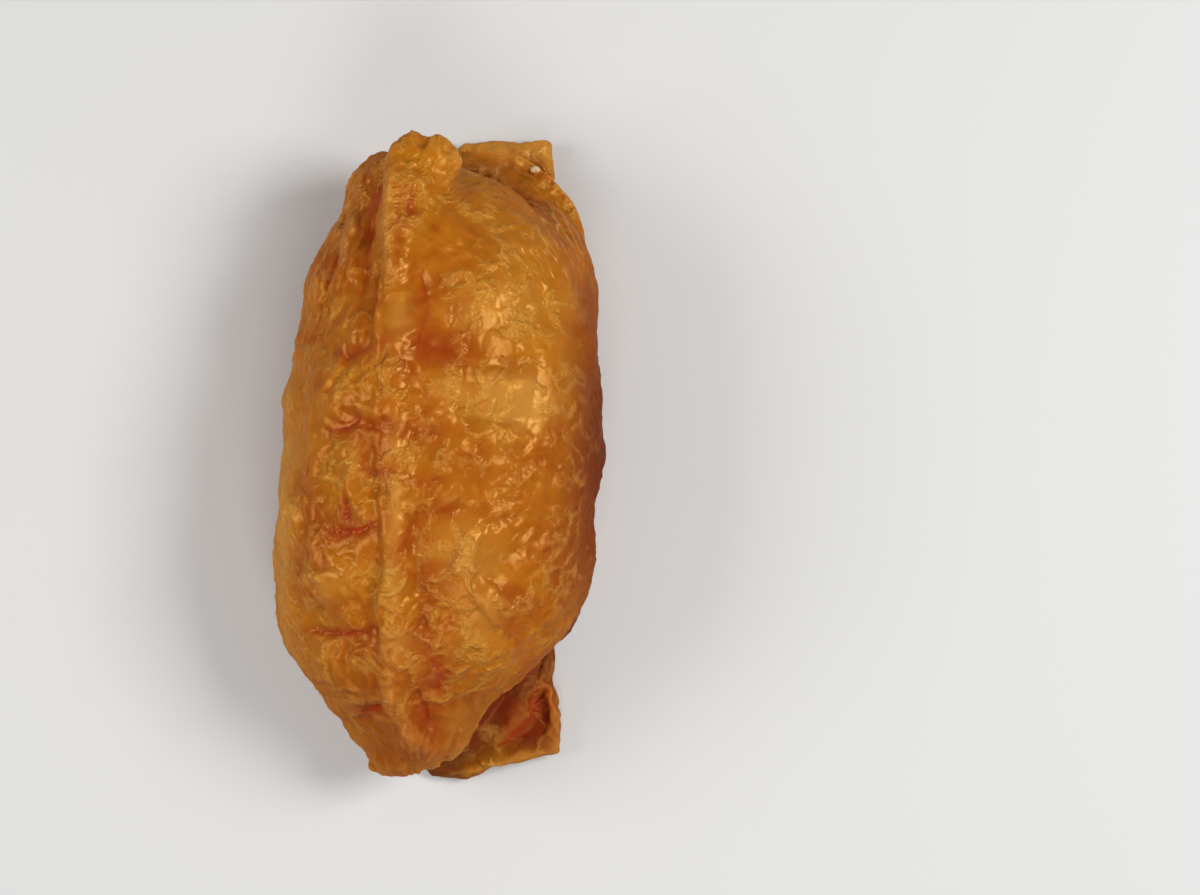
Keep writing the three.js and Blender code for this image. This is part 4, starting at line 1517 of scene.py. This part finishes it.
class Nodes:
    """Short ways to add shader nodes to a material or to the room."""

    def __init__(self, owner: bpy.types.Material | bpy.types.World) -> None:
        """Empties the owner's node tree and keeps it."""
        owner.use_nodes = True
        self.tree = owner.node_tree
        self.tree.nodes.clear()

    def add(self, kind: str, inputs: dict | None = None, **settings: str) -> bpy.types.Node:
        """Adds a node.

        Args:
            kind: the node's type name.
            inputs: values or sockets for its inputs, by name or number.
            settings: its other properties.

        Returns:
            The node.
        """
        node = self.tree.nodes.new(kind)
        for key, value in settings.items():
            setattr(node, key, value)
        for key, value in (inputs or {}).items():
            if isinstance(value, Socket):
                self.tree.links.new(value, node.inputs[key])
            else:
                node.inputs[key].default_value = value
        return node

    def surface(self, inputs: dict) -> None:
        """Adds a principled shader with these inputs as the material's surface."""
        shader = self.add("ShaderNodeBsdfPrincipled", inputs)
        self.add("ShaderNodeOutputMaterial", {"Surface": shader.outputs[0]})

    def place(self) -> Socket:
        """Returns where on the piece the shaded point is."""
        return self.add("ShaderNodeTexCoord").outputs["Object"]

    def mirrored(self) -> Socket:
        """Returns 1 where the owner is seen in the gloss of something else."""
        return self.add("ShaderNodeLightPath").outputs["Is Glossy Ray"]

    def mask(self, name: str) -> Socket:
        """Returns the number that a piece keeps under this name."""
        return self.add("ShaderNodeAttribute", attribute_name=name).outputs["Fac"]

    def math(self, operation: str, *values: Value) -> Socket:
        """Returns the result of a math node on these values or sockets."""
        return self.add("ShaderNodeMath", dict(enumerate(values)), operation=operation).outputs[0]

    def vector(self, operation: str, a: Socket, b: Socket | Vector3) -> Socket:
        """Returns the result of a vector math node on two vectors."""
        node = self.add("ShaderNodeVectorMath", {0: a, 1: b}, operation=operation)
        return node.outputs["Value" if operation == "DOT_PRODUCT" else "Vector"]

    def mix(self, factor: Value, a: Socket | Colour, b: Socket | Colour) -> Socket:
        """Returns the colour between a and b."""
        return self.add("ShaderNodeMix", {0: factor, 6: a, 7: b}, data_type="RGBA").outputs[2]

    def ramp(self, value: Value, low: float, high: float) -> Socket:
        """Returns 0 below low, 1 above high and a straight line between."""
        inputs = {"Value": value, "From Min": low, "From Max": high}
        return self.add("ShaderNodeMapRange", inputs).outputs[0]

    def noise(self, place: Socket, scale: float, detail: float, warp: float = 0.0) -> Socket:
        """Returns soft noise from 0 to 1 of this many features a metre."""
        inputs = {"Vector": place, "Scale": scale, "Detail": detail, "Distortion": warp}
        return self.add("ShaderNodeTexNoise", inputs).outputs[0]

    def cloud(self, place: Socket, cloud: Cloud) -> Socket:
        """Returns the cloud's noise, drawn out from 0 to 1."""
        return self.ramp(self.noise(place, cloud.scale, 2.0, cloud.warp), cloud.low, cloud.high)

    def ridges(self, place: Socket, ridges: Ridges) -> Socket:
        """Noise whose crests are sharp, like those of crumpled film.

        Args:
            place: where on the piece.
            ridges: sizes of the noise.

        Returns:
            The noise from 0 to 1.
        """
        inputs = {
            "Vector": place, "Scale": ridges.scale, "Detail": ridges.detail, "Roughness": 0.55,
            "Lacunarity": 2.2, "Offset": 1.0, "Gain": 1.4, "Distortion": ridges.warp,
        }
        noise = self.add("ShaderNodeTexNoise", inputs, noise_type="RIDGED_MULTIFRACTAL").outputs[0]
        return self.ramp(noise, ridges.low, ridges.high)

    def bump(
        self, height: Socket, distance: float, strength: float, under: Socket | None = None
    ) -> Socket:
        """Gives the surface a relief too fine for its mesh.

        Args:
            height: the relief, where 1 is the distance.
            distance: in metres.
            strength: how much of it shows, from 0 to 1.
            under: a normal that already has a relief.

        Returns:
            The normal.
        """
        inputs = {"Strength": strength, "Distance": distance, "Height": height}
        if under is not None:
            inputs["Normal"] = under
        return self.add("ShaderNodeBump", inputs).outputs[0]

    def plates(self, place: Socket, scale: float, bend: float) -> Socket:
        """Height, in metres, of small flat plates that each tilt their own way, like crumpled film.

        Space is bent by soft noise and split into cells. Inside a cell the height is the dot product
        of the cell's random direction and the offset from its middle.

        Args:
            place: where on the piece.
            scale: cells a metre.
            bend: how far space is bent, in metres.

        Returns:
            The height.
        """
        middle = (0.5, 0.5, 0.5)
        noise = self.add("ShaderNodeTexNoise", {"Vector": place, "Scale": 260.0, "Detail": 1.5})
        shake = self.vector("SUBTRACT", noise.outputs["Color"], middle)
        bent = self.vector("ADD", place, self.vector("MULTIPLY", shake, (bend, bend, bend)))
        cell = self.add("ShaderNodeTexVoronoi", {"Vector": bent, "Scale": scale})
        offset = self.vector("SUBTRACT", bent, cell.outputs["Position"])
        tilt = self.vector("SUBTRACT", cell.outputs["Color"], middle)
        return self.vector("DOT_PRODUCT", tilt, offset)


@dataclass(frozen=True)
class TofuSkin:
    """The finish of simmered fried tofu: moist amber skin, with painted red shade in its creases and
    painted highlights.
    """

    amber: Colour = (0.52, 0.152, 0.005, 1.0)
    brown: Colour = (0.42, 0.086, 0.004, 1.0)
    ochre: Colour = (0.55, 0.205, 0.008, 1.0)
    # painted highlights: on crests, rims, strands and pale patches
    pale: Colour = (0.72, 0.350, 0.060, 1.0)
    # red-brown, mostly painted shade along the creases and the right edge
    blush_shade: Colour = (0.36, 0.048, 0.004, 1.0)
    # painted shade, brown: on low, tail and right-edge skin
    brown_shade: Colour = (0.28, 0.062, 0.005, 1.0)
    # painted shade in the skin's valleys
    deep: Colour = (0.32, 0.032, 0.005, 1.0)
    # painted shade and glow in the creases and the folds' hollows
    crimson_shade: Colour = (0.38, 0.016, 0.006, 1.0)
    # painted highlights on the fibres
    cream: Colour = (0.95, 0.55, 0.19, 1.0)
    # painted shade under the lips, in the low hollows and on the right edge
    shade_wine: Colour = (0.12, 0.009, 0.005, 1.0)
    gleam: Colour = (1.0, 0.58, 0.14, 1.0)
    amber_patches: Cloud = Cloud(170.0, 0.8, 0.40, 0.62)
    ochre_patches: Cloud = Cloud(75.0, 0.8, 0.45, 0.62)
    ochre_spots: Cloud = Cloud(480.0, 1.2, 0.50, 0.70)
    dull_patches: Cloud = Cloud(300.0, 0.5, 0.3, 0.7)
    crumpled: Cloud = Cloud(140.0, 1.0, 0.46, 0.57)
    plated: Cloud = Cloud(110.0, 0.8, 0.42, 0.58)
    strand: Ridges = Ridges(330.0, 3.0, 0.15, 0.9, 1.7)
    fibre: Ridges = Ridges(0.8, 1.0, 0.2, 1.1, 1.7)
    level: tuple[float, float] = (0.25, 0.6)
    upright: tuple[float, float] = (0.3, 0.05)
    upright_share: float = 0.6
    faint: float = 0.08
    roughness: float = 0.34
    dullness: float = 0.12
    shaded_dullness: float = 0.25
    specular: float = 0.72
    coat: float = 0.06
    coat_roughness: float = 0.18
    coat_ior: float = 1.38
    relief: float = 0.7
    fine_height: float = 0.0004
    soft_scale: float = 300.0
    soft_warp: float = 0.9
    plate_scale: float = 420.0
    plate_bend: float = 0.0035
    plate_height: float = 0.35
    subsurface: float = 0.85
    red_clear: float = 0.6
    radius: Vector3 = (1.0, 0.35, 0.1)
    depth: float = 0.0016

    def colour(self, n: Nodes, place: Socket, crests: Socket, fibres: Socket) -> Socket:
        """Mixes the skin's colour from soft blotches and the piece's masks, one over the other, painted
        light and shade among them.

        Args:
            n: the material's nodes.
            place: where on the piece.
            crests: height of the crumpled film's strands, which are painted pale as highlights.
            fibres: height of the fibres, which are painted cream as highlights.

        Returns:
            The colour.
        """
        tone = n.mix(n.cloud(place, self.amber_patches), self.brown, self.amber)
        # the layers paint highlights (crests, pale patches, rims, strands, fibres) and shade (brown,
        # red-brown, under lips, valleys, red creases)
        layers = (
            (n.cloud(place, self.ochre_patches), 0.6, self.ochre),
            (n.cloud(place, self.ochre_spots), 0.35, self.ochre),
            (n.mask("thin"), 0.75, self.ochre),
            (n.mask("brown_shade"), 0.8, self.brown_shade),
            (n.mask("crest_highlight"), 0.40, self.pale),
            (n.mask("pale"), 0.7, self.pale),
            (n.mask("blush_shade"), 0.8, self.blush_shade),
            (n.mask("under"), 0.9, self.shade_wine),
            (n.mask("rim"), 0.7, self.pale),
            (n.mask("valley_shade"), 0.6, self.deep),
            (crests, 0.32, self.pale),
            (fibres, 0.8, self.cream),
            (n.mask("red"), 0.9, self.crimson_shade),
        )
        for where, share, colour in layers:
            tone = n.mix(n.math("MULTIPLY", where, share), tone, colour)
        return tone

    def crests(self, n: Nodes, place: Socket) -> Socket:
        """Thin raised strands where the wet skin is crumpled like film: the crests of ridged noise.

        They stand in full where softer noise is high and faint elsewhere, in full on level skin, lower
        on upright and overhanging skin, and not on the slopes between.

        Args:
            n: the material's nodes.
            place: where on the piece.

        Returns:
            Their height from 0 to 1.
        """
        crests = n.ridges(place, self.strand)
        where = n.math("MULTIPLY_ADD", n.cloud(place, self.crumpled), 1 - self.faint, self.faint)
        normal = n.add("ShaderNodeNewGeometry").outputs["Normal"]
        up = n.add("ShaderNodeSeparateXYZ", {0: normal}).outputs[2]
        upright = n.math("MULTIPLY", n.ramp(up, *self.upright), self.upright_share)
        level = n.math("MAXIMUM", n.ramp(up, *self.level), upright)
        return n.math("MULTIPLY", n.math("MULTIPLY", crests, level), where)

    def fibres(self, n: Nodes) -> Socket:
        """Returns the height, from 0 to 1, of the fibres: ridged noise drawn out along the grain."""
        grain = n.add("ShaderNodeAttribute", attribute_name="grain").outputs["Vector"]
        return n.math("MULTIPLY", n.ridges(grain, self.fibre), n.mask("fibre"))

    def film(self, n: Nodes, place: Socket, strands: Socket) -> Socket:
        """The relief of the wet skin that is too fine for its mesh.

        Args:
            n: the material's nodes.
            place: where on the piece.
            strands: height of the thin strands.

        Returns:
            The normal.
        """
        swell = n.noise(place, self.soft_scale, 1.0, self.soft_warp)
        soft = n.bump(swell, self.fine_height, self.relief)
        plates = n.plates(place, self.plate_scale, self.plate_bend)
        plates = n.math("MULTIPLY", plates, n.cloud(place, self.plated))
        creased = n.bump(plates, self.plate_height, self.relief, soft)
        return n.bump(strands, self.fine_height, self.relief, creased)

    def material(self) -> bpy.types.Material:
        """Makes the skin's material, more matt where brown or dark red shade is painted.

        Light doesn't pass below its surface along the strands, and less so in its red creases.

        Returns:
            The material, with its node tree.
        """
        material = bpy.data.materials.new("tofu_skin")
        n = Nodes(material)
        place = n.place()
        dull = n.cloud(place, self.dull_patches)
        shaded = n.math("MAXIMUM", n.mask("brown_shade"), n.mask("under"))
        rough = n.math("MULTIPLY_ADD", dull, self.dullness, self.roughness - self.dullness / 2)
        crests, fibres = self.crests(n, place), self.fibres(n)
        strands = n.math("MAXIMUM", crests, fibres)
        clear = n.math("MAXIMUM", strands, n.math("MULTIPLY", n.mask("red"), self.red_clear))
        film = self.film(n, place, strands)
        n.surface({
            "Base Color": self.colour(n, place, crests, fibres),
            "Roughness": n.math("MULTIPLY_ADD", shaded, self.shaded_dullness, rough),
            "Specular IOR Level": self.specular,
            "Specular Tint": self.gleam,
            "Normal": film,
            "Coat Normal": film,
            "Coat IOR": self.coat_ior,
            "Coat Weight": n.math("MULTIPLY_ADD", shaded, -self.coat, self.coat),
            "Coat Roughness": self.coat_roughness,
            "Subsurface Weight": n.math("MULTIPLY_ADD", clear, -self.subsurface, self.subsurface),
            "Subsurface Radius": self.radius,
            "Subsurface Scale": self.depth,
        })
        return material


@dataclass(frozen=True)
class RiceGrain:
    """The finish of a bit of cooked rice: milky, moist and slightly see-through."""

    cream: Colour = (0.85, 0.52, 0.26, 1.0)
    milk: Colour = (0.92, 0.66, 0.40, 1.0)
    cloud_scale: float = 2500.0
    roughness: float = 0.5
    specular: float = 0.3
    subsurface: float = 0.5
    radius: Vector3 = (1.0, 0.8, 0.5)
    depth: float = 0.0008

    def material(self) -> bpy.types.Material:
        """Returns the material, with its node tree."""
        material = bpy.data.materials.new("rice")
        n = Nodes(material)
        n.surface({
            "Base Color": n.mix(n.noise(n.place(), self.cloud_scale, 2.0), self.cream, self.milk),
            "Roughness": self.roughness,
            "Specular IOR Level": self.specular,
            "Subsurface Weight": self.subsurface,
            "Subsurface Radius": self.radius,
            "Subsurface Scale": self.depth,
        })
        return material


# ---- the pieces ----


@dataclass
class Pouch:
    """The pouch's skin piece, made of its surfaces."""

    loaf: Loaf = field(default_factory=Loaf)
    welt: Welt = field(default_factory=Welt)
    head_fold: SideFold = SideFold(4.0, 21.8, 15.2, 17.0, 6.4, 9.0, 5.4)
    tail_fold: SideFold = SideFold(0.6, -21.8, 14.2, 17.2, 3.9, 6.4, 3.2)
    shoulder: SideFold = SideFold(10.4, 24.6, 8.7, 8.9, 6.0, 13.0, 5.0, 2.2)
    mouth: Mouth = field(default_factory=Mouth)
    swellings: Swellings = Swellings()
    skin: Skin = field(default_factory=Skin)
    tones: Tones = field(default_factory=Tones)
    finish: TofuSkin = TofuSkin()
    rings: int = 420
    loaf_sides: int = 340
    welt_sides: int = 60
    fold_cells: tuple[int, int] = (100, 200)
    mouth_cells: tuple[int, int] = (90, 220)
    hem_cells: tuple[int, int] = (120, 20)
    quick_share: float = 0.5

    def hems(self) -> list[Hem]:
        """Returns the thin raised edges of the folds."""
        return [
            Hem(self.loaf.lip(-20.5, -40.2, 2.0, 0.2), 1.3, 0.5, tilt=-10.0),
            Hem(self.loaf.lip(29.4, 37.0, 1.6, 0.3), 1.2, 0.5, tilt=-8.0),
            Hem(self.tail_fold.rim(-66, -38), 1.2, 0.45, tilt=-10.0),
            Hem(self.head_fold.rim(92, 18), 1.3, 0.5, tilt=-8.0),
            Hem(np.array([(13.6, -29.4, 3.2), (14.0, -31.4, 3.6), (14.2, -33.0, 3.8), (14.6, -34.4, 3.9),
                          (14.0, -36.2, 3.5)]), 0.6, 0.5, wave=0.4, wave_size=1.4),
            Hem(np.array([(13.9, -38.3, 3.1), (10.8, -38.7, 3.3), (7.6, -39.5, 3.1), (3.9, -40.8, 3.0)]),
                0.8, 0.5, wave=0.4, wave_size=1.6),
            Hem(np.array([(6.8, 39.9, 3.6), (9.5, 39.3, 3.9), (12.4, 38.0, 3.7)]), 0.9, 0.6),
            Hem(np.array([(-8.7, -37.6, 10.0), (-8.4, -39.6, 9.6), (-6.6, -40.3, 9.4), (-4.4, -40.2, 9.2),
                          (-1.6, -40.3, 9.1)]), 0.9, 0.6, wave=0.45, wave_size=1.2),
        ]

    def shells(self) -> list[Shell]:
        """Returns all closed surfaces of the pouch."""
        detail = 1.0
        rings = int(self.rings * detail)
        folds = (self.head_fold, self.tail_fold, self.shoulder)
        return [
            self.loaf.shell(rings, int(self.loaf_sides * detail), self.swellings),
            self.welt.shell(rings, int(self.welt_sides * detail), self.loaf, self.swellings),
            *(fold.shell(*self.fold_cells, self.swellings) for fold in folds),
            self.mouth.shell(*self.mouth_cells, self.swellings),
            *(hem.shell(*self.hem_cells) for hem in self.hems()),
        ]

    def build(self) -> bpy.types.Object:
        """Makes the skin, its masks and its finish, and puts it in place of the plain solid.

        Returns:
            The piece.
        """
        skin, red = self.skin.creased(self.skin.remeshed(Shell.joined(self.shells())))
        skin = self.skin.wrinkled(skin)
        piece = mesh_object("pouch_skin", (skin.points + PLACE) * MM, skin.triangles)
        for name, values in self.tones.masks(skin, red, self.loaf, self.hems()).items():
            store(piece, name, values)
        store(piece, "grain", self.tones.grain(skin.points))
        piece.data.materials.append(self.finish.material())
        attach(piece, BODY)
        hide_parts(NODE)
        return piece


@dataclass
class RiceCrumb:
    """One crumb of rice on the head's fold."""

    x: float = 12.2
    y: float = 37.1
    size: float = 0.60
    stretch: Vector3 = (1.15, 0.8, 0.75)
    dent: float = 0.24
    dents_across: float = 1.8
    seed: float = 5.0
    risen: float = 0.4
    cells: tuple[int, int] = (24, 36)
    look_from: float = 100.0
    finish: RiceGrain = RiceGrain()

    def point_at(self, share: Array, angle: Array) -> Array:
        """Points of a sphere pulled long and dented by noise.

        Args:
            share: (n,) shares of the way from the lowest to the highest point.
            angle: (n,) angles in plan.

        Returns:
            (n, 3) points about the crumb's middle.
        """
        lift = (share - 0.5) * np.pi
        ring = np.cos(lift)
        ball = np.stack([ring * np.cos(angle), ring * np.sin(angle), np.sin(lift)], axis=1)
        dent = 1 + self.dent * value_noise(ball * self.dents_across + self.seed)
        return ball * dent[:, None] * self.size * np.array(self.stretch)

    def build(self, skin: bpy.types.Object) -> bpy.types.Object:
        """Makes the crumb, lying on the skin.

        Args:
            skin: the pouch's skin.

        Returns:
            The piece.
        """
        above = (np.array([self.x, self.y, self.look_from]) + PLACE) * MM
        _, hit, _, _ = skin.ray_cast(tuple(above), (0.0, 0.0, -1.0))
        crumb = closed_rings(*self.cells, self.point_at)
        place = np.array([self.x, self.y, hit[2] / MM + self.risen * self.size])
        piece = mesh_object("rice_crumb", (crumb.points + place + PLACE) * MM, crumb.triangles)
        piece.data.materials.append(self.finish.material())
        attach(piece, BODY)
        return piece


# ---- the room ----


@dataclass(frozen=True)
class SoftLight:
    """A square soft light that faces the pouch: its place and side in metres, and its watts."""

    name: str
    place: Vector3
    side: float
    power: float

    def build(self) -> None:
        """Hangs the light."""
        data = bpy.data.lights.new(self.name, "AREA")
        data.size = self.side
        data.energy = self.power
        lamp = bpy.data.objects.new(self.name, data)
        x, y, z = self.place
        lamp.location = self.place
        lamp.rotation_euler = (math.atan2(math.hypot(x, y), z), 0.0, math.atan2(x, -y))
        bpy.context.scene.collection.objects.link(lamp)


@dataclass
class Studio:
    """A pale floor, soft light from above and the camera that looks straight down."""

    lights: tuple[SoftLight, ...] = (
        SoftLight("window", (0.35, 0.08, 0.42), 0.20, 1.72),
        SoftLight("lamp", (-0.36, 0.02, 0.30), 0.22, 0.82),
        SoftLight("door", (0.04, -0.32, 0.36), 0.20, 0.50),
    )
    camera_height: float = 500.0
    aim_x: float = 20.6
    aim_y: float = 1.15
    sensor: float = 36.0
    frame_width: float = 153.6
    frame_level: float = 12.0
    clip: tuple[float, float] = (0.01, 10.0)
    floor_side: float = 3.0
    floor_tone: Colour = (0.78, 0.775, 0.76, 1.0)
    floor_mirrored: Colour = (0.32, 0.23, 0.15, 1.0)
    floor_roughness: float = 0.6
    room_tone: Colour = (0.19, 0.194, 0.20, 1.0)
    room_mirrored: Colour = (0.045, 0.034, 0.024, 1.0)

    def build(self) -> None:
        """Makes the floor, the lights, the world and the camera."""
        self.floor()
        for light in self.lights:
            light.build()
        self.world()
        self.camera()

    def floor(self) -> None:
        """Makes the floor as a large square, marked as stage. It is dark in the pouch's gloss."""
        h = self.floor_side / 2
        corners = np.array([(-h, -h, 0), (h, -h, 0), (h, h, 0), (-h, h, 0)], float)
        plane = mesh_object("floor", corners, np.array([(0, 1, 2), (0, 2, 3)]))
        material = bpy.data.materials.new("floor")
        n = Nodes(material)
        tone = n.mix(n.mirrored(), self.floor_tone, self.floor_mirrored)
        n.surface({"Base Color": tone, "Roughness": self.floor_roughness})
        plane.data.materials.append(material)
        plane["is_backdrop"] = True

    def world(self) -> None:
        """Fills the room with faint, slightly cool light that the pouch's gloss hardly mirrors."""
        world = bpy.data.worlds.new("room")
        n = Nodes(world)
        tone = n.mix(n.mirrored(), self.room_tone, self.room_mirrored)
        back = n.add("ShaderNodeBackground", {"Color": tone})
        n.add("ShaderNodeOutputWorld", {"Surface": back.outputs[0]})
        bpy.context.scene.world = world

    def camera(self) -> None:
        """Adds the camera, straight above its aim."""
        data = bpy.data.cameras.new("camera")
        data.sensor_width = self.sensor
        data.lens = self.sensor * (self.camera_height - self.frame_level) / self.frame_width
        data.clip_start, data.clip_end = self.clip
        camera = bpy.data.objects.new("camera", data)
        camera.location = (
            (self.aim_x + PLACE[0]) * MM, (self.aim_y + PLACE[1]) * MM, self.camera_height * MM
        )
        bpy.context.scene.collection.objects.link(camera)
        bpy.context.scene.camera = camera


def write_sizes() -> dict[str, list[list[float]]]:
    """Returns the solids' box and the dressed part's box as plain lists."""
    sizes = {"cad": [list(corner) for corner in CAD_BOX], "visual": [list(c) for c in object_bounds()]}
    return sizes


def report(piece: bpy.types.Object) -> None:
    """Logs a piece's name and how many triangles it has."""
    log.info("%s: %d triangles", piece.name, len(piece.data.polygons))


def main() -> None:
    """Builds the pouch, its crumb of rice and the room."""
    logging.basicConfig(level=logging.INFO, format="%(message)s")
    bpy.context.scene.view_settings.view_transform = "Standard"
    skin = Pouch().build()
    report(skin)
    report(RiceCrumb().build(skin))
    Studio().build()
    log.info("sizes: %s", write_sizes())


if __name__ == "__main__":
    main()
